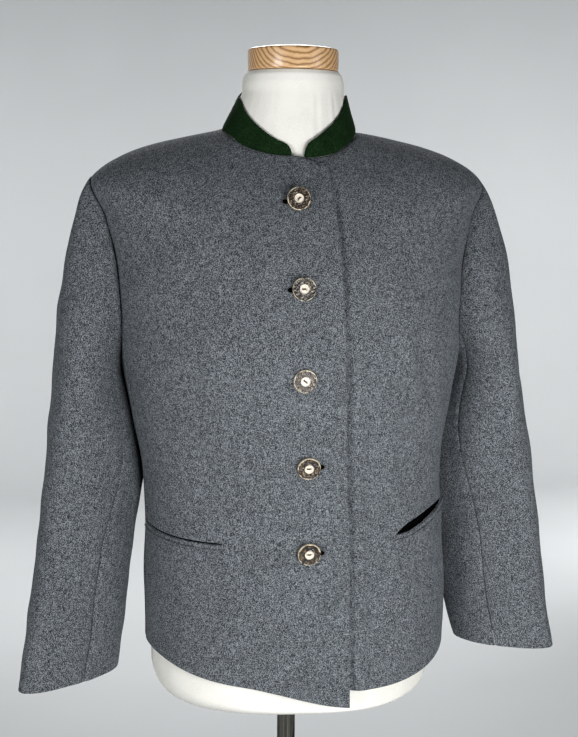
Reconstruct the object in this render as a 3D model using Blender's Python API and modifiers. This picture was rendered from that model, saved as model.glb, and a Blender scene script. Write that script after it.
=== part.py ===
"""A loden jacket with a stand collar, worn by a limbless dress form on a pole and a round base.

Metres, +Z up. The front faces -Y, the wearer's left is +X, and the base rests on Z = 0 with the
pole on the Z axis. The cloth pieces are walls between two matching grids of points.

The body of the jacket is one smooth surface. A place on it is an angle, 0 at the centre front, 90
at the side and 180 at the centre back, and a level, a row of BODY_LEVELS. Above the underarm the
levels climb at the sides, so the 90 degree line runs up to the shoulder point and then along the
shoulder seam to the neck.
"""

import math

import bmesh
import bpy
import numpy as np
from mathutils import Vector

COLLECTION_NAME = "loden_jacket_on_dress_form"

# Cloth and clearances
CLOTH = 0.0020
FELT = 0.0016
SEAM_GAP = 0.0003
LAP_GAP = 0.0010
FORM_GAP = 0.0008

# Levels of the body, from below the hem to the neck seam
BODY_COLUMNS = (
    "z_front", "z_side", "z_back", "half_width", "x_mid", "y_side", "y_front", "y_back",
    "square", "dip", "tilt", "form_inset")
BODY_LEVELS = (
    (0.545, 0.575, 0.550, 0.1740, 0.0070, -0.008, -0.1400, 0.1270, 2.25, 3.5, -0.055, 0.0130),
    (0.601, 0.629, 0.604, 0.1714, 0.0064, -0.008, -0.1385, 0.1250, 2.25, 3.5, -0.055, 0.0130),  # hem
    (0.655, 0.665, 0.657, 0.1725, 0.0070, -0.008, -0.1360, 0.1200, 2.25, 2.5, -0.025, 0.0120),
    (0.715, 0.717, 0.716, 0.1720, 0.0065, -0.010, -0.1325, 0.1100, 2.25, 2.0, 0.000, 0.0110),
    (0.775, 0.775, 0.775, 0.1685, 0.0045, -0.012, -0.1290, 0.0990, 2.25, 2.0, 0.000, 0.0100),  # waist
    (0.830, 0.830, 0.830, 0.1695, 0.0010, -0.012, -0.1310, 0.0990, 2.25, 2.0, 0.000, 0.0100),
    (0.890, 0.890, 0.890, 0.1790, -0.0005, -0.012, -0.1405, 0.1070, 2.25, 2.0, 0.000, 0.0090),
    (0.950, 0.950, 0.950, 0.1895, -0.0010, -0.010, -0.1500, 0.1150, 2.25, 2.0, 0.000, 0.0090),  # underarm
    (1.008, 1.010, 1.012, 0.1940, -0.0030, -0.006, -0.1440, 0.1180, 2.22, 2.0, 0.000, 0.0100),
    (1.050, 1.060, 1.062, 0.2000, -0.0030, -0.002, -0.1330, 0.1160, 2.15, 2.0, 0.000, 0.0120),
    (1.086, 1.105, 1.102, 0.2088, -0.0025, 0.000, -0.1190, 0.1090, 2.05, 2.0, 0.000, 0.0130),
    (1.112, 1.146, 1.132, 0.2190, -0.0015, 0.002, -0.1050, 0.1010, 1.95, 2.0, 0.000, 0.0120),  # shoulder
    (1.118, 1.156, 1.140, 0.2090, -0.0010, 0.003, -0.1010, 0.0980, 1.95, 2.1, 0.000, 0.0070),
    (1.128, 1.1705, 1.154, 0.1845, -0.0010, 0.005, -0.0950, 0.0930, 1.98, 2.2, 0.000, 0.0036),
    (1.140, 1.182, 1.170, 0.1535, -0.0010, 0.006, -0.0870, 0.0870, 2.00, 2.4, 0.000, 0.0032),
    (1.151, 1.190, 1.188, 0.1195, -0.0015, 0.005, -0.0790, 0.0790, 2.00, 2.6, 0.000, 0.0032),
    (1.161, 1.1955, 1.202, 0.0925, -0.0020, 0.002, -0.0718, 0.0710, 2.00, 2.8, 0.000, 0.0032),
    (1.169, 1.1985, 1.212, 0.0750, -0.0025, 0.000, -0.0660, 0.0640, 2.00, 3.0, 0.000, 0.0032),  # neck seam
)
HEM, WAIST, UNDERARM, SHOULDER, NECK = 1, 4, 7, 11, 17

# Armhole: levels of its top, its widest place and its bottom, and its reach from the side line
ARMHOLE_WIDEST = 8.35
ARMHOLE_BOTTOM = 7.03
ARMHOLE_REACH_FRONT = 17.0
ARMHOLE_REACH_BACK = 23.0
ARMHOLE_TOP_TAPER = 1.15
ARMHOLE_BOTTOM_TAPER = 0.8

# Turns round the armhole and the sleeve: 0 at the top, 90 in front, 180 under the arm
PANEL_CORNER_TURN = 112.0
PANEL_CORNER_STEPS = 8
SIDE_PANEL_STEPS = 6
SLEEVE_SEAM_TURN = PANEL_CORNER_TURN + (360.0 - 2.0 * PANEL_CORNER_TURN) / SIDE_PANEL_STEPS

# Seams that part the fronts and the back from the side panels, as angles at waist and hem
FRONT_SEAM_ANGLE = 86.0
BACK_SEAM_ANGLE = 107.0
SEAM_TURN_LEVEL = 4.0

# Front edges: x at a few heights, the lap, and the drop of the upper front's corner
UPPER_EDGE_COLUMNS = ("level", "x")
UPPER_EDGE = (
    (0.0, 0.0470),
    (HEM, 0.0467),
    (WAIST, 0.0450),
    (6.0, 0.0385),
    (8.0, 0.0340),
    (10.0, 0.0320),
    (NECK, 0.0276),
)
UNDER_EDGE_X = -0.028
LAP_START_X = -0.070
LAP_END_X = -0.036
CORNER_DROP = 0.0165
CORNER_DROP_START_X = -0.060
NECK_STEP = 1.0
NECK_STEP_START_X = -0.008

# Rows and columns of the cloth grids
LOWER_ROWS = 9
SHOULDER_LEVELS = (11.5, 12.3, 13.2, 14.2, 15.2, 16.1, NECK)
FRONT_COLUMNS = 11
BACK_COLUMNS = 16

# Sleeve tubes, from the biceps to the cuff: height, outer side lower than the middle by a drop, and
# distance of the outer and inner sides from the middle of the body
SLEEVE_COLUMNS = (
    "z_right", "drop_right", "outer_right", "inner_right", "y_right",
    "z_left", "drop_left", "outer_left", "inner_left", "y_left", "half_depth")
SLEEVE_LEVELS = (
    (0.932, 0.003, 0.2648, 0.1882, 0.000, 0.932, 0.003, 0.2611, 0.1890, 0.002, 0.0660),  # biceps
    (0.890, 0.004, 0.2697, 0.1790, -0.002, 0.890, 0.004, 0.2688, 0.1800, 0.001, 0.0630),
    (0.850, 0.005, 0.2735, 0.1720, -0.006, 0.850, 0.005, 0.2762, 0.1740, 0.000, 0.0580),
    (0.805, 0.006, 0.2777, 0.1664, -0.014, 0.806, 0.006, 0.2817, 0.1725, -0.003, 0.0510),  # elbow
    (0.755, 0.007, 0.2837, 0.1746, -0.027, 0.758, 0.006, 0.2866, 0.1755, -0.009, 0.0460),
    (0.705, 0.008, 0.2913, 0.1814, -0.040, 0.710, 0.006, 0.2906, 0.1805, -0.018, 0.0420),
    (0.655, 0.007, 0.2983, 0.1880, -0.053, 0.662, 0.003, 0.2950, 0.1865, -0.027, 0.0370),
    (0.6035, 0.0025, 0.3049, 0.1972, -0.064, 0.6145, -0.001, 0.3005, 0.1990, -0.036, 0.0310),  # cuff
)
CAP_ROWS = 6
TUBE_ROWS = 10
CAP_START_SIDEWAYS = 0.32
CAP_START_FORWARD = 0.30
CAP_START_DOWN = 0.36
CAP_END_SIDEWAYS = 0.06
HOLE_DEPTH = 0.0012
HOLE_RISE = 0.0005
SLEEVE_SQUARE = 2.15
SLEEVE_LEAN = 0.5

# The front seam leans outward down the sleeve: turns of its shift, and travels where it starts and ends
FRONT_SEAM_SHIFT = 27.0
SHIFT_START = 2.0
SHIFT_END = 5.5

# Stand collar
COLLAR_END_LEFT_X = 0.0048
COLLAR_END_RIGHT_X = -0.0096
COLLAR_HEIGHT_COLUMNS = ("angle", "height")
COLLAR_HEIGHTS = (
    (-180.0, 0.0410),
    (-75.0, 0.0410),
    (-62.0, 0.0385),
    (-48.0, 0.0330),
    (-36.0, 0.0280),
    (-22.0, 0.0200),
    (-11.0, 0.0145),
    (0.0, 0.0120),
    (9.0, 0.0150),
    (18.0, 0.0225),
    (30.0, 0.0300),
    (45.0, 0.0362),
    (64.0, 0.0448),
    (80.0, 0.0425),
    (95.0, 0.0410),
    (180.0, 0.0410),
)
COLLAR_CORNER = 0.008
COLLAR_END_HEIGHT = 0.005
COLLAR_ROWS = 3

# Pocket welts, on the fronts
WELTS = (  # name, side, angles of its two ends, levels of its upper edge at start, middle and end
    ("pocket_welt_right", -1, (31.5, 84.0), (3.745, 3.785, 3.87)),
    ("pocket_welt_left", 1, (33.5, 84.0), (3.82, 4.155, 4.283)),
)
WELT_HEIGHT = 0.0095
WELT_THICKNESS = 0.0014
WELT_LIFT = 0.0005

# Horn buttons on the upper front
BUTTONS = (  # x, z and how many degrees the face looks down
    (-0.0080, 1.1218, -12.0),
    (-0.0078, 1.0325, -6.0),
    (-0.0073, 0.940, 6.0),
    (0.0000, 0.846, 16.0),
    (0.0015, 0.7525, 12.0),
)
BUTTON_RADIUS = 0.0123
BUTTON_THICKNESS = 0.0040
BUTTON_EDGE_BEVEL = 0.0009
BUTTON_DISH_RADIUS = 0.0044
BUTTON_DISH_DEPTH = 0.0007
BUTTON_SIDES = 18
BUTTON_SEAT = 0.0003

# Dress form: the neck above the jacket's neck seam and the rounded foot below its hem
FORM_COLUMNS = 28
FORM_MID_X = 0.0014
FORM_THROAT_STEPS = 3
FORM_NECK = (  # z, half width, half depth and y of each ring
    (1.2390, 0.0563, 0.0520, -0.0020),
    (1.2500, 0.0563, 0.0520, -0.0020),
    (1.2580, 0.0545, 0.0510, -0.0020),
    (1.2624, 0.0500, 0.0480, -0.0020),
)
FORM_FOOT_Z = 0.566
FORM_FOOT_ROUND = 0.028
FORM_FOOT_STEPS = 5
FORM_TORSO_LEVELS = (
    1.0, 1.9, 2.8, 3.7, 4.6, 5.5, 6.4, 7.2, 8.0, 8.8, 9.6, 10.4,
    11.0, 11.5, 12.0, 12.7, 13.5, 14.4, 15.4, 16.3)

# Turned cap, pole and base
CAP_RADIUS = 0.0500
CAP_BOTTOM_Z = 1.2630
CAP_EDGE_TOP_Z = 1.2870
CAP_TOP_Z = 1.2910
CAP_BEVEL = 0.0020
POLE_RADIUS = 0.0105
BASE_RADIUS = 0.160
BASE_THICKNESS = 0.016
BASE_BEVEL = 0.006
ROUND_SIDES = 32

# Base colour, roughness and metallic value of each finish
GREY_LODEN = ((0.145, 0.150, 0.158, 1.0), 0.92, 0.0)
GREEN_FELT = ((0.020, 0.032, 0.026, 1.0), 0.95, 0.0)
STAG_HORN = ((0.230, 0.165, 0.105, 1.0), 0.50, 0.0)
WHITE_JERSEY = ((0.820, 0.810, 0.780, 1.0), 0.85, 0.0)
PALE_WOOD = ((0.620, 0.430, 0.240, 1.0), 0.35, 0.0)
SATIN_STEEL = ((0.560, 0.560, 0.570, 1.0), 0.32, 1.0)


def smooth_step(value, start, end):
    """0 before start, 1 after end, with a soft change between them."""
    share = min(max((value - start) / (end - start), 0.0), 1.0)
    return share * share * (3.0 - 2.0 * share)


def column(table, names, name):
    """The named column of a table, as a list."""
    place = names.index(name)
    return [row[place] for row in table]


def even_steps(values):
    """Steps of one length between values, for a table whose rows lie evenly apart."""
    return [1.0] * (len(values) - 1)


def curve_through(values, steps, position):
    """A smooth curve through values, read at a position in rows. A step is the way to the next row."""
    last = len(values) - 1
    row = min(max(int(math.floor(position)), 0), last - 1)
    share = position - row
    step = steps[row]
    slope = (values[row + 1] - values[row]) / step
    slope_start = slope
    slope_end = slope
    if row > 0:
        before = (values[row] - values[row - 1]) / steps[row - 1]
        slope_start = (before * step + slope * steps[row - 1]) / (step + steps[row - 1])
    if row + 2 <= last:
        after = (values[row + 2] - values[row + 1]) / steps[row + 1]
        slope_end = (slope * steps[row + 1] + after * step) / (step + steps[row + 1])
    square = share * share
    cube = square * share
    return ((2 * cube - 3 * square + 1) * values[row] + (cube - 2 * square + share) * slope_start * step
            + (3 * square - 2 * cube) * values[row + 1] + (cube - square) * slope_end * step)


def body_steps():
    """Distance from each level of the body to the next: the mean of its front, back and side."""
    steps = [0.0] * (len(BODY_LEVELS) - 1)
    for across, height in (("y_front", "z_front"), ("y_back", "z_back"), ("half_width", "z_side")):
        line = list(zip(column(BODY_LEVELS, BODY_COLUMNS, across), column(BODY_LEVELS, BODY_COLUMNS, height)))
        for row, (below, above) in enumerate(zip(line, line[1:])):
            steps[row] += math.dist(below, above) / 3.0
    return steps


BODY_STEPS = body_steps()
SLEEVE_STEPS = even_steps(SLEEVE_LEVELS)


def body_value(name, level):
    """A column of the body's table at any level."""
    return curve_through(column(BODY_LEVELS, BODY_COLUMNS, name), BODY_STEPS, level)


def body_point(angle, level):
    """A point of the jacket's outer surface, with the angle growing towards the wearer's left."""
    turn = math.radians(angle)
    sine = math.sin(turn)
    cosine = math.cos(turn)
    square = body_value("square", level)
    reach = (abs(sine) ** square + abs(cosine) ** square) ** (-1.0 / square)
    end = "front" if cosine >= 0.0 else "back"
    y_side = body_value("y_side", level)
    depth = body_value("y_" + end, level) - y_side
    z_side = body_value("z_side", level)
    rise = body_value("z_" + end, level) - z_side
    x = body_value("half_width", level) * reach * sine
    return np.array((
        x + body_value("x_mid", level),
        y_side + depth * reach * abs(cosine),
        z_side + rise * (1.0 - abs(sine) ** body_value("dip", level))
        + body_value("tilt", level) * x * abs(cosine),
    ))


def unit(vector):
    """The same direction with a length of one."""
    return vector / np.linalg.norm(vector)


def body_frame(angle, level):
    """Directions on the body: round it, up it and out of it."""
    step = 0.02
    round_it = unit(body_point(angle + step, level) - body_point(angle - step, level))
    up_it = unit(body_point(angle, level + step) - body_point(angle, level - step))
    return round_it, up_it, unit(np.cross(round_it, up_it))


def angle_at_x(x, level):
    """The angle in front at which the body has this x."""
    square = body_value("square", level)
    offset = x - body_value("x_mid", level)
    ratio = body_value("half_width", level) / max(abs(offset), 1e-9)
    return math.copysign(math.degrees(math.atan((ratio ** square - 1.0) ** (-1.0 / square))), offset)


def gap_angle(angle, level):
    """Half of the seam gap, as an angle at this place on the body."""
    metres_per_degree = np.linalg.norm(body_point(angle + 0.5, level) - body_point(angle - 0.5, level))
    return 0.5 * SEAM_GAP / metres_per_degree


# ---------------------------------------------------------------- seams of the body


def armhole_place(turn):
    """Angle and level of the armhole's edge at a turn from its top, 90 being in front."""
    sine = math.sin(math.radians(turn))
    cosine = math.cos(math.radians(turn))
    if cosine >= 0.0:
        level = ARMHOLE_WIDEST + (SHOULDER - ARMHOLE_WIDEST) * cosine
        taper = ARMHOLE_TOP_TAPER
    else:
        level = ARMHOLE_WIDEST + (ARMHOLE_WIDEST - ARMHOLE_BOTTOM) * cosine
        taper = ARMHOLE_BOTTOM_TAPER
    reach = ARMHOLE_REACH_FRONT if sine >= 0.0 else ARMHOLE_REACH_BACK
    return 90.0 - math.copysign(reach * abs(sine) ** taper, sine), level


def seam_place(hem_angle, corner_turn, level):
    """Angle of a side panel's seam: plumb up to the waist, then curving to the armhole."""
    corner_angle, corner_level = armhole_place(corner_turn)
    share = smooth_step(level, SEAM_TURN_LEVEL - 1.5, corner_level + 1.2)
    full = smooth_step(corner_level, SEAM_TURN_LEVEL - 1.5, corner_level + 1.2)
    return hem_angle + (corner_angle - hem_angle) * share / full


CORNER_LEVEL = armhole_place(PANEL_CORNER_TURN)[1]
LOWER_LEVELS = [HEM + (CORNER_LEVEL - HEM) * row / LOWER_ROWS for row in range(LOWER_ROWS + 1)]
ARMHOLE_TURNS = [
    PANEL_CORNER_TURN * (1.0 - step / PANEL_CORNER_STEPS) for step in range(1, PANEL_CORNER_STEPS + 1)]


def long_edge(hem_angle, corner_turn):
    """Places up the outer edge of a front or the back: side seam, armhole, shoulder seam."""
    seam = [(seam_place(hem_angle, corner_turn, level), level) for level in LOWER_LEVELS]
    sign = math.copysign(1.0, corner_turn)
    armhole = [armhole_place(sign * turn) for turn in ARMHOLE_TURNS]
    shoulder = [(90.0, level) for level in SHOULDER_LEVELS]
    return seam + armhole + shoulder


# ---------------------------------------------------------------- meshes


def collection_for_object():
    """A collection with the object's name in the scene."""
    collection = bpy.data.collections.new(COLLECTION_NAME)
    bpy.context.scene.collection.children.link(collection)
    return collection


def material_named(name, finish):
    """A Principled material with a finish's colour, roughness and metallic value."""
    colour, roughness, metallic = finish
    material = bpy.data.materials.new(name)
    material.use_nodes = True
    shader = material.node_tree.nodes["Principled BSDF"]
    shader.inputs["Base Color"].default_value = colour
    shader.inputs["Roughness"].default_value = roughness
    shader.inputs["Metallic"].default_value = metallic
    material.diffuse_color = colour
    return material


def add_object(name, mesh, finish):
    """A named object for a mesh, with its own material."""
    mesh.materials.append(material_named(name + "_finish", finish))
    piece = bpy.data.objects.new(name, mesh)
    bpy.data.collections[COLLECTION_NAME].objects.link(piece)
    return piece


def mesh_from_bmesh(name, solid):
    """A smooth-shaded mesh with its faces pointing out."""
    bmesh.ops.recalc_face_normals(solid, faces=solid.faces)
    mesh = bpy.data.meshes.new(name)
    solid.to_mesh(mesh)
    solid.free()
    mesh.shade_smooth()
    mesh.set_sharp_from_angle(angle=math.radians(40.0))
    return mesh


def add_wall(name, outer, inner, finish):
    """A closed wall between two grids of points, rows by columns, joined round its four edges."""
    rows = len(outer)
    columns = len(outer[0])
    solid = bmesh.new()
    skins = [[[solid.verts.new(point) for point in row] for row in skin] for skin in (outer, inner)]
    for skin in skins:
        for row in range(rows - 1):
            for place in range(columns - 1):
                solid.faces.new((skin[row][place], skin[row][place + 1],
                                 skin[row + 1][place + 1], skin[row + 1][place]))
    border = [(0, place) for place in range(columns)]
    border += [(row, columns - 1) for row in range(1, rows)]
    border += [(rows - 1, place) for place in range(columns - 2, -1, -1)]
    border += [(row, 0) for row in range(rows - 2, 0, -1)]
    for here, there in zip(border, border[1:] + border[:1]):
        solid.faces.new([skins[skin][row][place] for skin, (row, place) in
                         ((0, here), (0, there), (1, there), (1, here))])
    return add_object(name, mesh_from_bmesh(name, solid), finish)


def add_turned(name, profile, sides, finish, centre=(0.0, 0.0, 0.0)):
    """A turned solid from a profile of radius and height that starts and ends on the axis."""
    mesh = bpy.data.meshes.new(name)
    points = [(radius, 0.0, height) for radius, height in profile]
    edges = [(place, place + 1) for place in range(len(points) - 1)]
    mesh.from_pydata(points, edges, [])
    piece = add_object(name, mesh, finish)
    piece.location = centre
    screw = piece.modifiers.new("turn", "SCREW")
    screw.axis = "Z"
    screw.steps = sides
    screw.render_steps = sides
    screw.use_merge_vertices = True
    screw.merge_threshold = 0.00001
    screw.use_smooth_shade = True
    return piece


# ---------------------------------------------------------------- body panels


def grid_between(starts, stops, columns):
    """Rows of places, each running evenly from its start angle to its stop angle."""
    return [[(start + (stop - start) * place / columns, level) for place in range(columns + 1)]
            for (start, level), (stop, _) in zip(starts, stops)]


def panel_skins(places, point_at, thickness):
    """Outer and inner points of a panel over a grid of places."""
    outer = [[point_at(*place) for place in row] for row in places]
    return ([[point for point, normal in row] for row in outer],
            [[point - normal * thickness for point, normal in row] for row in outer])


def body_place(angle, level):
    """Outer point and normal of the plain body."""
    return body_point(angle, level), body_frame(angle, level)[2]


def upper_edge_x(level):
    """The x of the upper front's edge at a level."""
    levels = column(UPPER_EDGE, UPPER_EDGE_COLUMNS, "level")
    return float(np.interp(level, levels, column(UPPER_EDGE, UPPER_EDGE_COLUMNS, "x")))


def upper_front_place(angle, level):
    """Outer point and normal of the upper front: its lap, its low corner and its neck step."""
    x = body_point(angle, level)[0]
    low = smooth_step(x, CORNER_DROP_START_X, UPPER_EDGE[0][1]) * (1.0 - smooth_step(level, HEM, WAIST))
    step = smooth_step(x, NECK_STEP_START_X, UPPER_EDGE[-1][1]) * smooth_step(level, NECK - 2.0, NECK)
    level_height = BODY_LEVELS[HEM][0] - BODY_LEVELS[0][0]
    moved = level - CORNER_DROP / level_height * low - NECK_STEP * step
    if moved != level:
        angle = angle_at_x(x, moved)
    point, normal = body_place(angle, moved)
    return point + normal * (CLOTH + LAP_GAP) * smooth_step(x, LAP_START_X, LAP_END_X), normal


def front_places(side):
    """Grid of places on a front, from its edge at the closure to its outer edge, hem first."""
    outer_edge = [(side * (angle - gap_angle(angle, level)), level)
                  for angle, level in long_edge(FRONT_SEAM_ANGLE, PANEL_CORNER_TURN)]
    closure = [(angle_at_x(UNDER_EDGE_X if side > 0 else upper_edge_x(level), level), level)
               for _, level in outer_edge]
    return grid_between(closure, outer_edge, FRONT_COLUMNS)


def back_places():
    """Grid of places on the back, from the wearer's left side seam to the right one."""
    left_edge = [(angle + gap_angle(angle, level), level)
                 for angle, level in long_edge(BACK_SEAM_ANGLE, -PANEL_CORNER_TURN)]
    right_edge = [(360.0 - angle, level) for angle, level in left_edge]
    return grid_between(left_edge, right_edge, BACK_COLUMNS)


def side_places(side):
    """Grid of places on a side panel, whose upper edge is the bottom of the armhole."""
    top = [armhole_place(PANEL_CORNER_TURN + (SLEEVE_SEAM_TURN - PANEL_CORNER_TURN) * place)
           for place in range(SIDE_PANEL_STEPS + 1)]
    grid = []
    for row, level in enumerate(LOWER_LEVELS):
        climb = row / LOWER_ROWS
        start = seam_place(FRONT_SEAM_ANGLE, PANEL_CORNER_TURN, level)
        stop = seam_place(BACK_SEAM_ANGLE, -PANEL_CORNER_TURN, level)
        start += gap_angle(start, level)
        stop -= gap_angle(stop, level)
        places = []
        for place, (top_angle, top_level) in enumerate(top):
            across = place / SIDE_PANEL_STEPS
            even_top = top[0][0] + (top[-1][0] - top[0][0]) * across
            angle = start + (stop - start) * across + climb ** 4 * (top_angle - even_top)
            places.append((side * angle, level + climb * (top_level - CORNER_LEVEL)))
        grid.append(places)
    return grid


FRONT_RIGHT = panel_skins(front_places(-1), upper_front_place, CLOTH)
FRONT_LEFT = panel_skins(front_places(1), body_place, CLOTH)
BACK = panel_skins(back_places(), body_place, CLOTH)


def add_body_panels():
    """The fronts, the wearer's right one on top, the back in one piece, and the side panels."""
    add_wall("front_right", *FRONT_RIGHT, GREY_LODEN)
    add_wall("front_left", *FRONT_LEFT, GREY_LODEN)
    add_wall("back", *BACK, GREY_LODEN)
    add_wall("side_right", *panel_skins(side_places(-1), body_place, CLOTH), GREY_LODEN)
    add_wall("side_left", *panel_skins(side_places(1), body_place, CLOTH), GREY_LODEN)


# ---------------------------------------------------------------- sleeves


def sleeve_ring_point(turn, level, side):
    """A point of the sleeve's tube at a level of its table, on the wearer's left (1) or right (-1)."""
    def value(name):
        return curve_through(column(SLEEVE_LEVELS, SLEEVE_COLUMNS, name), SLEEVE_STEPS, level)
    arm = "left" if side > 0 else "right"
    outer = value("outer_" + arm)
    inner = value("inner_" + arm)
    sine = math.sin(math.radians(turn))
    cosine = math.cos(math.radians(turn))
    reach = (abs(sine) ** SLEEVE_SQUARE + abs(cosine) ** SLEEVE_SQUARE) ** (-1.0 / SLEEVE_SQUARE)
    sideways = (outer - inner) / 2.0 * reach * cosine
    return np.array((
        side * ((outer + inner) / 2.0 + sideways),
        value("y_" + arm) - value("half_depth") * reach * sine - SLEEVE_LEAN * sideways,
        value("z_" + arm) - value("drop_" + arm) * cosine,
    ))


def armhole_point(turn, side):
    """A point of the armhole's edge."""
    angle, level = armhole_place(turn)
    return body_point(side * angle, level)


def sleeve_start(turn, side):
    """Where the sleeve leaves the armhole, just inside its edge, and the way out of the body."""
    angle, level = armhole_place(turn)
    step = 0.5
    normal = body_frame(side * angle, level)[2]
    along = unit(armhole_point(turn + step, side) - armhole_point(turn - step, side))
    into_hole = side * np.cross(normal, along)
    return armhole_point(turn, side) + into_hole * SEAM_GAP * 1.2, normal


def sleeve_point(turn, travel, side):
    """A point of the sleeve: travel runs 0 to 1 over the cap and on, a level each, to the cuff."""
    if travel >= 1.0:
        return sleeve_ring_point(turn, travel - 1.0, side)
    start, normal = sleeve_start(turn, side)
    start = start + normal * HOLE_RISE
    if travel <= 0.0:
        return start + normal * travel
    end = sleeve_ring_point(turn, 0.0, side)
    length = np.linalg.norm(end - start)
    sine = math.sin(math.radians(turn))
    leave = length * np.array((side * CAP_START_SIDEWAYS, -CAP_START_FORWARD * sine, -CAP_START_DOWN))
    arrive = length * np.array((side * CAP_END_SIDEWAYS, 0.0, -1.0))
    square = travel * travel
    cube = square * travel
    return ((2 * cube - 3 * square + 1) * start + (cube - 2 * square + travel) * leave
            + (3 * square - 2 * cube) * end + (cube - square) * arrive)


def sleeve_normal(turn, travel, side):
    """Outward direction of the sleeve."""
    step = 0.01
    before = max(travel - step, 0.0)
    round_it = sleeve_point(turn + 1.0, travel, side) - sleeve_point(turn - 1.0, travel, side)
    down_it = sleeve_point(turn, before + 2.0 * step, side) - sleeve_point(turn, before, side)
    return unit(np.cross(round_it, down_it)) * side


def sleeve_turns(first_turn, last_turn):
    """Turns of a sleeve piece's columns, the same ones that the armhole's panels have."""
    corner = [PANEL_CORNER_TURN * step / PANEL_CORNER_STEPS for step in range(PANEL_CORNER_STEPS + 1)]
    under_step = SLEEVE_SEAM_TURN - PANEL_CORNER_TURN
    under = [PANEL_CORNER_TURN + under_step * step for step in range(1, SIDE_PANEL_STEPS)]
    half = corner + under
    every = half + [-turn for turn in half] + [360.0 - turn for turn in half]
    margin = 0.1
    return [turn for turn in sorted({round(turn, 6) for turn in every})
            if first_turn - margin <= turn <= last_turn + margin]


def with_front_seam(turn, travel):
    """A column's turn, drawn along with the front seam as this one leans outward down the sleeve."""
    if not 0.0 < turn < 180.0:
        return turn
    seam = SLEEVE_SEAM_TURN - FRONT_SEAM_SHIFT * smooth_step(travel, SHIFT_START, SHIFT_END)
    if turn <= SLEEVE_SEAM_TURN:
        return turn * seam / SLEEVE_SEAM_TURN
    return 180.0 - (180.0 - turn) * (180.0 - seam) / (180.0 - SLEEVE_SEAM_TURN)


def seam_shift(turn, travel, side):
    """Half of the seam gap, as a turn at this place on the sleeve."""
    metres_per_turn = np.linalg.norm(
        sleeve_point(turn + 0.5, travel, side) - sleeve_point(turn - 0.5, travel, side))
    return 0.5 * SEAM_GAP / metres_per_turn


def add_sleeve_piece(name, side, first_turn, last_turn):
    """The upper or the under piece of a sleeve, between its two long seams."""
    turns = sleeve_turns(first_turn, last_turn)
    tube_levels = len(SLEEVE_LEVELS) - 1
    travels = [-HOLE_DEPTH - HOLE_RISE]
    travels += [row / CAP_ROWS for row in range(CAP_ROWS + 1)]
    travels += [1.0 + tube_levels * row / TUBE_ROWS for row in range(1, TUBE_ROWS + 1)]
    outer = []
    inner = []
    for travel in travels:
        reach = max(travel, 0.0)
        row_turns = [with_front_seam(turn, travel) for turn in turns]
        row_turns[0] += seam_shift(row_turns[0], reach, side)
        row_turns[-1] -= seam_shift(row_turns[-1], reach, side)
        outer.append([sleeve_point(turn, travel, side) for turn in row_turns])
        inner.append([point - sleeve_normal(turn, reach, side) * CLOTH
                      for point, turn in zip(outer[-1], row_turns)])
    add_wall(name, outer, inner, GREY_LODEN)


def add_sleeves():
    """Two-piece sleeves: the upper piece covers the arm, the under piece faces the body."""
    for word, side in (("right", -1), ("left", 1)):
        add_sleeve_piece("sleeve_upper_" + word, side, -SLEEVE_SEAM_TURN, SLEEVE_SEAM_TURN)
        add_sleeve_piece("sleeve_under_" + word, side, SLEEVE_SEAM_TURN, 360.0 - SLEEVE_SEAM_TURN)


# ---------------------------------------------------------------- collar


def collar_height(angle, to_end):
    """Height of the collar at an angle round the neck, rounded off at its two ends."""
    turn = (angle + 180.0) % 360.0 - 180.0
    angles = column(COLLAR_HEIGHTS, COLLAR_HEIGHT_COLUMNS, "angle")
    full = float(np.interp(turn, angles, column(COLLAR_HEIGHTS, COLLAR_HEIGHT_COLUMNS, "height")))
    if to_end >= COLLAR_CORNER:
        return full
    share = 1.0 - to_end / COLLAR_CORNER
    return COLLAR_END_HEIGHT + (full - COLLAR_END_HEIGHT) * math.sqrt(1.0 - share * share)


def form_neck_point(angle, row):
    """A point of one of the rings of the form's neck."""
    z, half_width, half_depth, y = row
    turn = math.radians(angle)
    return np.array((FORM_MID_X + half_width * math.sin(turn), y - half_depth * math.cos(turn), z))


def away_from_neck(angle):
    """Level direction away from the neck at its seam."""
    return unit(np.cross(body_frame(angle, NECK)[0], np.array((0.0, 0.0, 1.0))))


def neck_edge():
    """Angles and points of the panels' neck edge, from the left closure round to the right one."""
    left, right = FRONT_LEFT[0][-1], BACK[0][-1]
    upper = front_places(-1)[-1]
    edge = [(angle, point) for (angle, _), point in zip(front_places(1)[-1], left)]
    edge += [(angle, point) for (angle, _), point in zip(back_places()[-1], right)][1:-1]
    edge += [(360.0 + angle, body_point(angle, level)) for angle, level in upper[::-1]]
    return edge


def collar_angles(first, last, edge):
    """Angles of the collar's columns: those of the neck edge, and closer ones at its two ends."""
    spread = [0.0, 1.2, 3.0, 5.5, 8.5, 12.5]
    ends = [first + step for step in spread] + [last - step for step in spread]
    inner = [angle for angle, _ in edge if first + spread[-1] + 3.0 < angle < last - spread[-1] - 3.0]
    return sorted(ends + inner)


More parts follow.
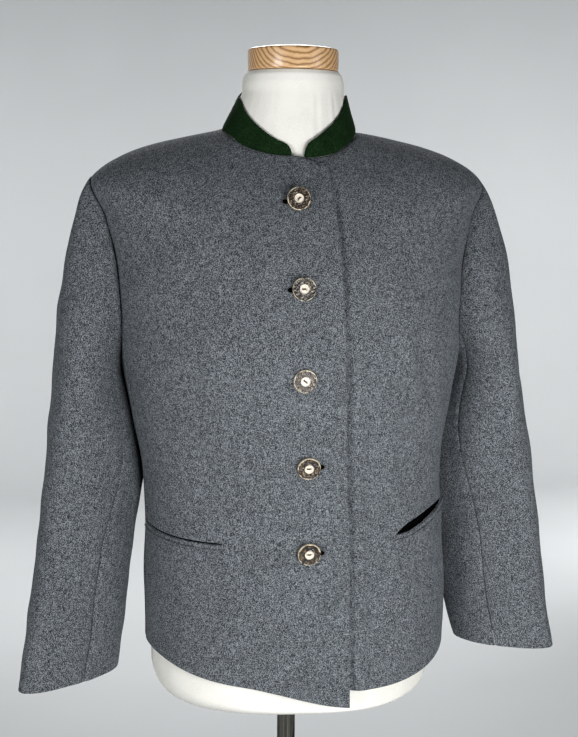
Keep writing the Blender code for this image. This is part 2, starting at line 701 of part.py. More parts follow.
def add_collar():
    """The stand collar, from its left end round the back to its right end."""
    first = angle_at_x(COLLAR_END_LEFT_X, NECK)
    last = 360.0 + angle_at_x(COLLAR_END_RIGHT_X, NECK)
    radius = BODY_LEVELS[NECK][BODY_COLUMNS.index("half_width")]
    edge = neck_edge()
    edge_angles = [angle for angle, _ in edge]
    outer = []
    inner = []
    for angle in collar_angles(first, last, edge):
        to_end = radius * math.radians(min(angle - first, last - angle))
        round_it, up_it, _ = body_frame(angle, NECK)
        on_edge = np.array([np.interp(angle, edge_angles, [point[axis] for _, point in edge])
                            for axis in range(3)])
        away = away_from_neck(angle)
        draw_in = float(np.dot(on_edge - form_neck_point(angle, FORM_NECK[0]), away)) - FELT - FORM_GAP
        climb = max(FORM_NECK[0][0] - on_edge[2], collar_height(angle, COLLAR_CORNER))
        rise = unit(np.array((0.0, 0.0, climb)) - away * draw_in)
        face = unit(np.cross(round_it, rise))
        foot = on_edge + up_it * SEAM_GAP * 1.3
        height = collar_height(angle, to_end)
        outer.append([foot + rise * height * row / COLLAR_ROWS for row in range(COLLAR_ROWS + 1)])
        inner.append([point - face * FELT for point in outer[-1]])
    add_wall("collar", outer, inner, GREEN_FELT)


# ---------------------------------------------------------------- pockets and buttons


def level_at_height(z):
    """The level whose centre front is at a height."""
    heights = column(BODY_LEVELS, BODY_COLUMNS, "z_front")
    return float(np.interp(z, heights, range(len(heights))))


def panel_row(places, level):
    """The row of a panel's grid under a level, and the share of the way up to the next row."""
    levels = [row[0][1] for row in places]
    row = min(max(int(np.searchsorted(levels, level)) - 1, 0), len(levels) - 2)
    return row, (level - levels[row]) / (levels[row + 1] - levels[row])


def across_panel(places, angle, level):
    """How many columns an angle lies from the closure."""
    line = places[panel_row(places, level)[0]]
    return (angle - line[0][0]) / (line[-1][0] - line[0][0]) * FRONT_COLUMNS


def on_panel(places, points, across, level):
    """The point of a panel's own facets, some columns from the closure, and the way out of them."""
    row, up = panel_row(places, level)
    place = min(max(int(across), 0), FRONT_COLUMNS - 1)
    share = across - place
    low, high = [points[line][place] * (1.0 - share) + points[line][place + 1] * share
                 for line in (row, row + 1)]
    angle = places[row][place][0] * (1.0 - share) + places[row][place + 1][0] * share
    return low * (1.0 - up) + high * up, body_frame(angle, level)[2]


def through_middle(levels, share):
    """The level at a share of the way along an even curve through a start, a middle and an end."""
    start, middle, end = levels
    rest = 1.0 - share
    return start * rest * (rest - share) + middle * 4.0 * share * rest + end * share * (share - rest)


def add_welts():
    """The welt of each pocket, a narrow strip lying on its front below the slit."""
    for name, side, angles, levels in WELTS:
        places = front_places(side)
        points = (FRONT_LEFT if side > 0 else FRONT_RIGHT)[0]
        start, stop = (across_panel(places, side * angle, level)
                       for angle, level in zip(angles, (levels[0], levels[-1])))
        stops = [start, *range(math.ceil(start + 0.2), math.floor(stop - 0.2) + 1), stop]
        outer = []
        inner = []
        for across in stops:
            top_level = through_middle(levels, (across - start) / (stop - start))
            top = on_panel(places, points, across, top_level)[0]
            level_height = np.linalg.norm(top - on_panel(places, points, across, top_level - 0.5)[0]) / 0.5
            seats = [on_panel(places, points, across, level)
                     for level in (top_level - WELT_HEIGHT / level_height, top_level)]
            inner.append([point + normal * WELT_LIFT for point, normal in seats])
            outer.append([point + normal * (WELT_LIFT + WELT_THICKNESS) for point, normal in seats])
        add_wall(name, outer, inner, GREY_LODEN)


def button_profile():
    """Half section of a horn slice with a round dish in its face, from the axis on top."""
    half = BUTTON_THICKNESS / 2.0
    return (
        (0.0, half - BUTTON_DISH_DEPTH),
        (BUTTON_DISH_RADIUS - BUTTON_DISH_DEPTH, half - BUTTON_DISH_DEPTH),
        (BUTTON_DISH_RADIUS, half),
        (BUTTON_RADIUS - BUTTON_EDGE_BEVEL, half),
        (BUTTON_RADIUS, half - BUTTON_EDGE_BEVEL),
        (BUTTON_RADIUS, BUTTON_EDGE_BEVEL - half),
        (BUTTON_RADIUS - BUTTON_EDGE_BEVEL, -half),
        (0.0, -half),
    )


def add_buttons():
    """Five horn buttons down the closure, each turned to hang as its row says."""
    places = front_places(-1)
    for number, (x, z, face_down) in enumerate(BUTTONS, start=1):
        level = level_at_height(z)
        across = across_panel(places, angle_at_x(x, level), level)
        point, normal = on_panel(places, FRONT_RIGHT[0], across, level)
        down = math.radians(face_down)
        forward = unit(np.array((normal[0], normal[1], 0.0)))
        face = forward * math.cos(down) - np.array((0.0, 0.0, math.sin(down)))
        tilt = math.acos(min(1.0, float(np.dot(face, normal))))
        lift = BUTTON_SEAT + BUTTON_THICKNESS / 2.0 + BUTTON_RADIUS * math.sin(tilt)
        button = add_turned("button_%d" % number, button_profile(), BUTTON_SIDES, STAG_HORN,
                            point + normal * lift)
        button.rotation_mode = "QUATERNION"
        button.rotation_quaternion = Vector(face).to_track_quat("Z", "Y")


# ---------------------------------------------------------------- dress form and stand


def form_ring(level):
    """A ring of the form inside the jacket, brought to the form's own middle below the chest."""
    inset = body_value("form_inset", level)
    aside = FORM_MID_X - body_value("x_mid", level)
    centre = np.array((aside * (1.0 - smooth_step(level, UNDERARM - 1, UNDERARM + 1)), 0.0, 0.0))
    ring = []
    for place in range(FORM_COLUMNS):
        angle = 360.0 * place / FORM_COLUMNS
        ring.append(body_point(angle, level) - body_frame(angle, level)[2] * inset + centre)
    return ring


def form_foot_rings():
    """Rings of the form's rounded foot, from its flat underside up."""
    top = form_ring(FORM_TORSO_LEVELS[0])
    rings = []
    for step in range(FORM_FOOT_STEPS):
        turn = math.radians(90.0 * step / FORM_FOOT_STEPS)
        draw_in = FORM_FOOT_ROUND * (1.0 - math.sin(turn))
        rise = FORM_FOOT_ROUND * (1.0 - math.cos(turn))
        ring = []
        for point in top:
            flat = np.array((point[0], point[1], 0.0))
            reach = np.linalg.norm(flat)
            height = FORM_FOOT_Z + rise * (point[2] - FORM_FOOT_Z) / FORM_FOOT_ROUND
            ring.append(flat * (1.0 - draw_in / reach) + np.array((0.0, 0.0, height)))
        rings.append(ring)
    return rings


def form_neck_rings():
    """Rings of the form's neck: up inside the collar, then straight to the seat of its cap."""
    angles = [360.0 * place / FORM_COLUMNS for place in range(FORM_COLUMNS)]
    straight = [[form_neck_point(angle, row) for angle in angles] for row in FORM_NECK]
    inset = body_value("form_inset", NECK)
    foot = [body_point(angle, NECK) - body_frame(angle, NECK)[2] * inset
            - away_from_neck(angle) * (FELT + FORM_GAP) for angle in angles]
    throat = [[start + (end - start) * step / FORM_THROAT_STEPS for start, end in zip(foot, straight[0])]
              for step in range(FORM_THROAT_STEPS)]
    return throat + straight


def add_form():
    """The limbless form: a closed loft from its foot through the torso to its neck."""
    rings = form_foot_rings() + [form_ring(level) for level in FORM_TORSO_LEVELS] + form_neck_rings()
    solid = bmesh.new()
    loops = [[solid.verts.new(point) for point in ring] for ring in rings]
    for below, above in zip(loops, loops[1:]):
        for place in range(FORM_COLUMNS):
            beside = (place + 1) % FORM_COLUMNS
            solid.faces.new((below[place], below[beside], above[beside], above[place]))
    solid.faces.new(loops[0])
    solid.faces.new(loops[-1])
    add_object("form_torso", mesh_from_bmesh("form_torso", solid), WHITE_JERSEY)


def add_stand():
    """The turned wood cap on the neck, the pole under the form and the round base."""
    cap_profile = (
        (0.0, CAP_TOP_Z),
        (CAP_RADIUS * 0.45, CAP_TOP_Z - 0.0008),
        (CAP_RADIUS * 0.80, CAP_EDGE_TOP_Z + 0.0010),
        (CAP_RADIUS - CAP_BEVEL, CAP_EDGE_TOP_Z - CAP_BEVEL * 0.3),
        (CAP_RADIUS, CAP_EDGE_TOP_Z - CAP_BEVEL),
        (CAP_RADIUS, CAP_BOTTOM_Z + CAP_BEVEL),
        (CAP_RADIUS - CAP_BEVEL, CAP_BOTTOM_Z),
        (0.0, CAP_BOTTOM_Z),
    )
    add_turned("neck_cap", cap_profile, ROUND_SIDES, PALE_WOOD, (FORM_MID_X, FORM_NECK[-1][3], 0.0))
    pole_top = FORM_FOOT_Z - SEAM_GAP
    pole_bottom = BASE_THICKNESS + SEAM_GAP
    pole_profile = (
        (0.0, pole_top), (POLE_RADIUS, pole_top), (POLE_RADIUS, pole_bottom), (0.0, pole_bottom))
    add_turned("pole", pole_profile, ROUND_SIDES, SATIN_STEEL)
    base_profile = (
        (0.0, BASE_THICKNESS),
        (BASE_RADIUS - 2.0 * BASE_BEVEL, BASE_THICKNESS),
        (BASE_RADIUS - 0.6 * BASE_BEVEL, BASE_THICKNESS - 0.3 * BASE_BEVEL),
        (BASE_RADIUS, BASE_THICKNESS - BASE_BEVEL),
        (BASE_RADIUS, 0.0),
        (0.0, 0.0),
    )
    add_turned("base", base_profile, ROUND_SIDES, SATIN_STEEL)


def main():
    """Builds the whole object."""
    for piece in list(bpy.data.objects):
        bpy.data.objects.remove(piece, do_unlink=True)
    collection_for_object()
    add_form()
    add_stand()
    add_body_panels()
    add_sleeves()
    add_collar()
    add_welts()
    add_buttons()


main()
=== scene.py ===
"""Looks of a loden jacket on a limbless dress form: fine cloth shells on the forms of the CAD solids.

Metres, +Z up. The front faces -Y and the wearer's left is +X. The body of the jacket is one smooth
surface. A place on it is an angle, 0 at the centre front, 90 at the side and 180 at the centre back,
and a level, a row of BODY_LEVELS. A place on a sleeve is a turn round it and a travel along it.
"""

import math

import bmesh
import bpy
import numpy as np
from mathutils import Matrix, Vector


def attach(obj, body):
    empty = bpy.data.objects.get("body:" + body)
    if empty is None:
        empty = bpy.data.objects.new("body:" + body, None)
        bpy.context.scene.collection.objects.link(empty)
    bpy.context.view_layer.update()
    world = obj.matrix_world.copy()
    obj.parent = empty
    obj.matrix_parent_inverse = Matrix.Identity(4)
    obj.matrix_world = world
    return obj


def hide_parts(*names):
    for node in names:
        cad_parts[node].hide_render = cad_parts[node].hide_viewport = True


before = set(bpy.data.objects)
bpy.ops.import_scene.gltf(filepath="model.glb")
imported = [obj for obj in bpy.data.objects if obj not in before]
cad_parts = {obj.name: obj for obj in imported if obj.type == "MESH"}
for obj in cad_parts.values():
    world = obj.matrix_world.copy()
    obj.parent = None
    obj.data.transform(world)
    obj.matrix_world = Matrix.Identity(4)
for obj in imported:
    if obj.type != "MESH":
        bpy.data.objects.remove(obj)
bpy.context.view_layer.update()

# Cloth and clearances
CLOTH = 0.0023
FELT = 0.0019
SEAM_GAP = 0.0003
LAP_LIFT = 0.0032
FORM_GAP = 0.0008

# Directions, and what keeps only the level part of a vector
UP = np.array((0.0, 0.0, 1.0))
LEFTWARD = np.array((1.0, 0.0, 0.0))
LEVEL_PART = np.array((1.0, 1.0, 0.0))

# Levels of the body, from below the hem to the neck seam
BODY_COLUMNS = (
    "z_front", "z_side", "z_back", "half_width", "x_mid", "y_side", "y_front", "y_back",
    "square", "dip", "tilt", "form_inset")
BODY_LEVELS = (
    (0.545, 0.575, 0.550, 0.1740, 0.0070, -0.008, -0.1400, 0.1270, 2.25, 3.5, -0.055, 0.0130),
    (0.601, 0.629, 0.604, 0.1714, 0.0064, -0.008, -0.1385, 0.1250, 2.25, 3.5, -0.055, 0.0130),  # hem
    (0.655, 0.665, 0.657, 0.1725, 0.0070, -0.008, -0.1360, 0.1200, 2.25, 2.5, -0.025, 0.0120),
    (0.715, 0.717, 0.716, 0.1720, 0.0065, -0.010, -0.1325, 0.1100, 2.25, 2.0, 0.000, 0.0110),
    (0.775, 0.775, 0.775, 0.1685, 0.0045, -0.012, -0.1290, 0.0990, 2.25, 2.0, 0.000, 0.0100),  # waist
    (0.830, 0.830, 0.830, 0.1695, 0.0010, -0.012, -0.1310, 0.0990, 2.25, 2.0, 0.000, 0.0100),
    (0.890, 0.890, 0.890, 0.1790, -0.0005, -0.012, -0.1405, 0.1070, 2.25, 2.0, 0.000, 0.0090),
    (0.950, 0.950, 0.950, 0.1895, -0.0010, -0.010, -0.1500, 0.1150, 2.25, 2.0, 0.000, 0.0090),  # underarm
    (1.008, 1.010, 1.012, 0.1940, -0.0030, -0.006, -0.1440, 0.1180, 2.22, 2.0, 0.000, 0.0100),
    (1.050, 1.060, 1.062, 0.2000, -0.0030, -0.002, -0.1330, 0.1160, 2.15, 2.0, 0.000, 0.0120),
    (1.086, 1.105, 1.102, 0.2088, -0.0025, 0.000, -0.1190, 0.1090, 2.05, 2.0, 0.000, 0.0130),
    (1.112, 1.146, 1.132, 0.2190, -0.0015, 0.002, -0.1050, 0.1010, 1.95, 2.0, 0.000, 0.0120),  # shoulder
    (1.118, 1.156, 1.140, 0.2090, -0.0010, 0.003, -0.1010, 0.0980, 1.95, 2.1, 0.000, 0.0070),
    (1.128, 1.1705, 1.154, 0.1845, -0.0010, 0.005, -0.0950, 0.0930, 1.98, 2.2, 0.000, 0.0036),
    (1.140, 1.182, 1.170, 0.1535, -0.0010, 0.006, -0.0870, 0.0870, 2.00, 2.4, 0.000, 0.0032),
    (1.151, 1.190, 1.188, 0.1195, -0.0015, 0.005, -0.0790, 0.0790, 2.00, 2.6, 0.000, 0.0032),
    (1.161, 1.1955, 1.202, 0.0925, -0.0020, 0.002, -0.0718, 0.0710, 2.00, 2.8, 0.000, 0.0032),
    (1.169, 1.1985, 1.212, 0.0750, -0.0025, 0.000, -0.0660, 0.0640, 2.00, 3.0, 0.000, 0.0032),  # neck seam
)
HEM, WAIST, UNDERARM, SHOULDER, NECK = 1, 4, 7, 11, 17

# Armhole: levels of its widest place and its bottom, and its reach from the side line
ARMHOLE_WIDEST = 8.35
ARMHOLE_BOTTOM = 7.03
ARMHOLE_REACH_FRONT = 17.0
ARMHOLE_REACH_BACK = 23.0
ARMHOLE_TOP_TAPER = 1.15
ARMHOLE_BOTTOM_TAPER = 0.8

# Turns round the armhole and the sleeve: 0 at the top, 90 in front, 180 under the arm
PANEL_CORNER_TURN = 112.0
SIDE_PANEL_STEPS = 6
SLEEVE_SEAM_TURN = PANEL_CORNER_TURN + (360.0 - 2.0 * PANEL_CORNER_TURN) / SIDE_PANEL_STEPS

# Seams that part the fronts and the back from the side panels: angles from the hem to the waist, and
# the levels over which they curve to the armhole
FRONT_SEAM_ANGLE = 86.0
BACK_SEAM_ANGLE = 107.0
SEAM_TURN_START = 2.5
SEAM_TURN_PAST_CORNER = 1.2

# Front edges: x at a few levels, where the lap starts and is full, the drop of the upper front's
# corner and the step of its upper edge
UPPER_EDGE = (
    (0.0, 0.0470), (HEM, 0.0467), (WAIST, 0.0450), (6.0, 0.0385), (8.0, 0.0340), (10.0, 0.0320),
    (NECK, 0.0276))
UNDER_EDGE_X = -0.028
LAP_START_X = -0.070
LAP_END_X = -0.036
CORNER_DROP = 0.0165
CORNER_DROP_START_X = -0.060
NECK_STEP = 1.0
NECK_STEP_START_X = -0.008

# The closure: the upper front's edge rolls up, the under front dips beside it and then swells, and
# both fade towards the collar
EDGE_ROLL = 0.0022
EDGE_ROLL_WIDTH = 0.007
EDGE_DIP = 0.0034
DIP_PLACE = 0.0015
DIP_WIDTH = 0.0048
RIDGE_SHARE = 0.6
RIDGE_PLACE = 0.015
RIDGE_WIDTH = 0.007
CLOSURE_FADE_Z = (1.100, 1.152)
STITCH_TROUGH = 0.0011
STITCH_TROUGH_WIDTH = 0.0023
STITCH_TROUGH_START = 0.004

# The inner side of a front follows the outer side's rise up to half a millimetre, and then this
# share of it
INNER_SHARE = 0.6
INNER_SLACK = 0.0002

# Seams: how deep and wide the cloth sinks beside them, and how far it reaches under its neighbour
SEAM_VALLEY = 0.0011
SEAM_VALLEY_WIDTH = 0.0028
SEAM_TUCK = 0.0005
SLEEVE_TUCK = 0.0014

# Sleeve tubes, from the biceps to the cuff: height, outer side lower than the middle by a drop, and
# distance of the outer and inner sides from the middle of the body
SLEEVE_COLUMNS = (
    "z_right", "drop_right", "outer_right", "inner_right", "y_right",
    "z_left", "drop_left", "outer_left", "inner_left", "y_left", "half_depth")
SLEEVE_LEVELS = (
    (0.932, 0.003, 0.2648, 0.1882, 0.000, 0.932, 0.003, 0.2611, 0.1890, 0.002, 0.0660),  # biceps
    (0.890, 0.004, 0.2697, 0.1790, -0.002, 0.890, 0.004, 0.2688, 0.1800, 0.001, 0.0630),
    (0.850, 0.005, 0.2735, 0.1720, -0.006, 0.850, 0.005, 0.2762, 0.1740, 0.000, 0.0580),
    (0.805, 0.006, 0.2777, 0.1664, -0.014, 0.806, 0.006, 0.2817, 0.1725, -0.003, 0.0510),  # elbow
    (0.755, 0.007, 0.2837, 0.1746, -0.027, 0.758, 0.006, 0.2866, 0.1755, -0.009, 0.0460),
    (0.705, 0.008, 0.2913, 0.1814, -0.040, 0.710, 0.006, 0.2906, 0.1805, -0.018, 0.0420),
    (0.655, 0.007, 0.2983, 0.1880, -0.053, 0.662, 0.003, 0.2950, 0.1865, -0.027, 0.0370),
    (0.6035, 0.0025, 0.3049, 0.1972, -0.064, 0.6145, -0.001, 0.3005, 0.1990, -0.036, 0.0310),  # cuff
)
SLEEVE_SQUARE = 2.15
SLEEVE_LEAN = 0.5

# The sleeve's cap: which way it leaves the armhole and arrives at the tube, how far its edge turns
# in and stands out at the seam, and how soon the cloth's unevenness and folds set in
CAP_START_SIDEWAYS = 0.32
CAP_START_FORWARD = 0.30
CAP_START_DOWN = 0.36
CAP_END_SIDEWAYS = 0.06
CAP_TURN_IN = 0.0021
CAP_RISE = 0.0005
CAP_SMOOTH = 0.35

# The front seam leans outward down the sleeve: degrees of its shift, and travels where it starts
# and ends
FRONT_SEAM_SHIFT = 27.0
SHIFT_START = 2.0
SHIFT_END = 5.5

# Stand collar
COLLAR_END_LEFT_X = 0.0048
COLLAR_END_RIGHT_X = -0.0096
COLLAR_HEIGHTS = (  # angle and height
    (-180.0, 0.0410), (-75.0, 0.0410), (-62.0, 0.0385), (-48.0, 0.0330), (-36.0, 0.0280),
    (-22.0, 0.0200), (-11.0, 0.0145), (0.0, 0.0120), (9.0, 0.0150), (18.0, 0.0225), (30.0, 0.0300),
    (45.0, 0.0362), (64.0, 0.0448), (80.0, 0.0425), (95.0, 0.0410), (180.0, 0.0410))
COLLAR_CORNER = 0.008
COLLAR_END_HEIGHT = 0.005
COLLAR_SMOOTHING = 3

# Pockets: side, angles of the slit's two ends, its levels at start, middle and end, over how many
# degrees it opens and closes, its widest gap and how far its lower lip stands out. Then how the slit
# is carried on and fades out, how its lips round off, and its walls: share of the gap, and depth
POCKETS = {
    -1: {"start": 31.5, "end": 84.0, "levels": (3.745, 3.785, 3.87), "opens": 3.0, "closes": 9.0,
         "gap": 0.0014, "lip": 0.0004},
    1: {"start": 31.2, "end": 84.0, "levels": (3.785, 4.145, 4.283), "opens": 9.0, "closes": 38.0,
        "gap": 0.0094, "lip": 0.0022},
}
SLIT_CARRY_ON = 0.15
SLIT_FADE_LEVELS = (0.15, 1.15)
SLIT_CLOSED_STEP = 0.00012
SLIT_LIP_RADIUS = 0.0011
SLIT_INNER_FADE = 0.0022
SLIT_WALL = ((0.98, 0.0022), (0.95, 0.0034), (0.90, 0.0046), (0.70, 0.0057))
SLIT_DEPTH = 0.0062
# Faces of a slit deeper than this are painted near black, as painted shade
SLIT_SHADE_DEPTH = 0.0016

# Cloth round a slit: widths of its swell below and above, the swell's share above the slit and on the
# side panel, degrees from the slit's start and end between which it grows, degrees from its end
# between which a share of it fades, and degrees over which it fades on the side panel
LIP_WIDTH_BELOW = 0.030
LIP_WIDTH_ABOVE = 0.007
LIP_SHARE_ABOVE = 0.2
LIP_SHARE_SIDE = 0.35
LIP_GROWS = (6.0, -8.0)
LIP_FADE = (-6.0, 3.0)
LIP_FADE_SHARE = 0.55
LIP_FADE_SIDE = 14.0

# Welts: measures, and the furrow above the lower edge's stitches
WELT_HEIGHT = 0.0095
WELT_THICKNESS = 0.0014
WELT_LENGTH = 0.105
WELT_END_IN = 0.5
WELT_BELOW_SLIT = 0.0002
WELT_LIFT = 0.0001
WELT_STITCH_IN = 0.0018
WELT_FURROW = 0.0005
WELT_FURROW_WIDTH = 0.0009

# Horn buttons: x, z, how many degrees the face looks down, and how far beside the button's middle its
# buttonhole ends, to the wearer's left if positive
BUTTONS = (
    (-0.0080, 1.1218, -12.0, -0.0165),
    (-0.0078, 1.0325, -6.0, -0.0165),
    (-0.0073, 0.940, 6.0, 0.0205),
    (0.0000, 0.846, 16.0, 0.0170),
    (0.0015, 0.7525, 12.0, 0.0170),
)
BUTTON_RADIUS = 0.0123
BUTTON_THICKNESS = 0.0040
BUTTON_SEAT = 0.0003
BUTTON_SIDES = 120
BUTTON_RINGS = np.concatenate((
    np.linspace(0.0002, 0.00405, 18), (0.00425, 0.00440, 0.00455, 0.00475),
    np.linspace(0.0051, 0.0112, 22), (0.0115, 0.0118, 0.0120, 0.01216, 0.01226, 0.0123)))
BUTTON_TOP = (  # radius, and how far the face lies below the button's highest plane
    (0.0, 0.0009), (0.0041, 0.0009), (0.0047, 0.0001), (0.0112, 0.00005), (0.0117, 0.00008),
    (0.0120, 0.00025), (0.01218, 0.0006), (0.0123, 0.0012))
BUTTON_UNDERSIDE = (  # radius, and how far the back lies above the lowest plane
    (0.0123, 0.0010), (0.0122, 0.0005), (0.01195, 0.00015), (0.0115, 0.0), (0.0075, 0.0),
    (0.003, 0.0), (0.0002, 0.0))
BUTTON_WAVES = (2, 3, 5)
BUTTON_WAVE = 0.010
BUTTON_ROUND_WITHIN = 0.006

# The button's bark: radii where it starts and ends, how deep it lies and how rough it is
BARK_START = (0.0049, 0.0060)
BARK_END = (0.0106, 0.0116)
BARK_DEPTH = 0.00016
BARK_RELIEF = 0.00007
BARK_WAVES = 14
BARK_HIGHEST = 2.5
BARK_WAVE_LENGTHS = (0.0012, 0.0045)

# The button's two holes and the strands in them, and the shank of thread below
HOLE_FROM_MIDDLE = 0.0020
HOLE_SINK = 0.0014
HOLE_EDGE = (0.0008, 0.0014)
STRANDS = (-0.00052, 0.00002, 0.00055)
STRAND_BELOW_TOP = 0.0010
STRAND_RADIUS = 0.00034
STRAND_BOW = 0.00055
SHANK_RADII = (0.0022, 0.0018)
SHANK_LENGTH = 0.0030
SHANK_BELOW = 0.0013

# Dress form, cap, pole and base
FORM_MID_X = 0.0014
FORM_NECK = (  # z, half width, half depth and y of each ring
    (1.2390, 0.0563, 0.0520, -0.0020),
    (1.2500, 0.0563, 0.0520, -0.0020),
    (1.2580, 0.0545, 0.0510, -0.0020),
    (1.2624, 0.0500, 0.0480, -0.0020),
)
FORM_FOOT_Z = 0.566
FORM_FOOT_ROUND = 0.028
CAP_RADIUS = 0.0500
CAP_BOTTOM_Z = 1.2630
CAP_EDGE_TOP_Z = 1.2870
CAP_TOP_Z = 1.2910
CAP_DOME = ((0.0, 0.0), (0.2, 0.0001), (0.45, 0.0008), (0.70, 0.0021))  # share of radius, drop
CAP_BEVEL = 0.0020
POLE_RADIUS = 0.0105
BASE_RADIUS = 0.160
BASE_THICKNESS = 0.016
BASE_BEVEL = 0.006
TURNED_SIDES = 96
CORNER_STEPS = 6

# Gathers of the jersey round the form's neck: depth, heights between which they come and go, and
# where round the neck they are stronger
GATHER_DEPTH = 0.00022
GATHERS_COME_Z = (1.178, 1.192)
GATHERS_GO_Z = (1.222, 1.246)
GATHERS_STRONG = ((-25.0, 20.0), (60.0, 100.0))
GATHERS_WEAK_SHARE = 0.35
GATHER_WAVES = ((1.0, 31.0, 0.6), (0.6, 47.0, 1.9))  # height, number round the neck, start

# Fine grids: distances in from an edge, numbers of columns and rows, and metres between two levels
# at the hem, the pockets, the neck and the cuff
EDGE_STOPS = np.array((0.0, 0.00012, 0.00045, 0.0010, 0.0018, 0.0030, 0.0048))
FRONT_COLUMNS = 84
BACK_COLUMNS = 130
SIDE_COLUMNS = 22
SIDE_HEIGHT = 0.345
HEM_TO_SLIT_ROWS = 56
SLIT_TO_ARMHOLE_ROWS = 66
SLIT_ROOM_LEVELS = 0.03
ARMHOLE_ROWS = 60
SHOULDER_ROWS = 34
CAP_ROWS = 46
TUBE_ROWS = 110
UPPER_SLEEVE_COLUMNS = 96
UNDER_SLEEVE_COLUMNS = 40
COLLAR_COLUMNS = 150
COLLAR_ROWS = 12
COLLAR_ROWS_HEIGHT = 0.030
WELT_COLUMNS = 44
WELT_ROWS = 8
ROW_SAMPLES = 81
TURN_SAMPLES = 61
FORM_SIDES = 160
FORM_FIRST_LEVEL = 0.55
FORM_ROWS = 130
FORM_FOOT_ROWS = 14
THROAT_ROWS = 16
HEM_LEVEL_HEIGHT = 0.055
POCKET_LEVEL_HEIGHT = 0.060
NECK_LEVEL_HEIGHT = 0.0185
CUFF_LEVEL_HEIGHT = 0.051

# Stitches: radius and bow of the thread along the closure, a welt's edge and a welt's ends
EDGE_THREAD = (0.00021, 0.00024)
WELT_THREAD = (0.00020, 0.00022)
WELT_END_THREAD = (0.00024, 0.00028)
EDGE_STITCH_IN = 0.0085
EDGE_STITCH_SUNK = 0.00085
STITCH_PITCH = 0.0030
STITCH_LENGTH = 0.0022
WELT_STITCHES = 34
WELT_STITCH_SHARE = 0.72
WELT_STITCH_SUNK = 0.0002
WELT_END_STITCHES = 4
WELT_END_STITCH_START = 0.0008
WELT_END_STITCH_PITCH = 0.0021
WELT_END_STITCH_LENGTH = 0.0016
WELT_END_STITCH_PLACES = (1.2, 1.4)
STITCHING_LEVELS = (HEM + 0.1, NECK - 0.25)
STITCHING_ENDS = (0.002, 0.003)
STITCH_RINGS = 6
STITCH_SIDES = 6
STITCH_SINK = 0.6
STITCH_THIN = 0.45
STITCH_TAPER = (0.08, 0.92)

# Buttonholes: how far past the button's middle, on the other side, the slot starts, its half width,
# how much wider its eye is and where that widens, the slot's two skins, and the rim of wound thread
BUTTONHOLE_START = 0.0110
BUTTONHOLE_POINTS = 96
SLOT_HALF_WIDTH = 0.0012
EYE_EXTRA = 0.0034
EYE_FROM = (0.35, 0.9)
SLOT_SHIFT = 0.0002
SLOT_SKINS = (0.00022, -0.0006)
SLOT_MIDDLE_RISE = 0.0001
RIM_RADIUS = 0.00062
RIM_WIDE = 1.25
RIM_BEAD = 0.16
RIM_OUTSIDE = 0.0005
RIM_SIDES = 8

# Which way each button's thread runs, and how brown its bark is
BUTTON_THREADS = (48.0, 0.0, -38.0, 4.0, 0.0)
BUTTON_WARMTH = (0.75, 0.15, 0.8, 0.85, 0.35)

# Soft unevenness of the cloth: height, number and spread of its waves, the height their sum is
# divided by, the seed and length of waves of each part, and how much less it is on the form
SWELL = 0.0007
SWELL_WAVES = 9
SWELL_WAVE_LENGTHS = (0.6, 1.7)
SWELL_SHARE = 3.0
SWELLS = {"front": (11, 0.075), "back": (21, 0.085), "side": (31, 0.075), "sleeve": (41, 0.060)}
SWELL_LESS = 0.7
SWELL_LESS_Z = (1.10, 1.15)
COLLAR_SWELL = (61, 0.00035, 0.035)
BUTTON_SEED = 70

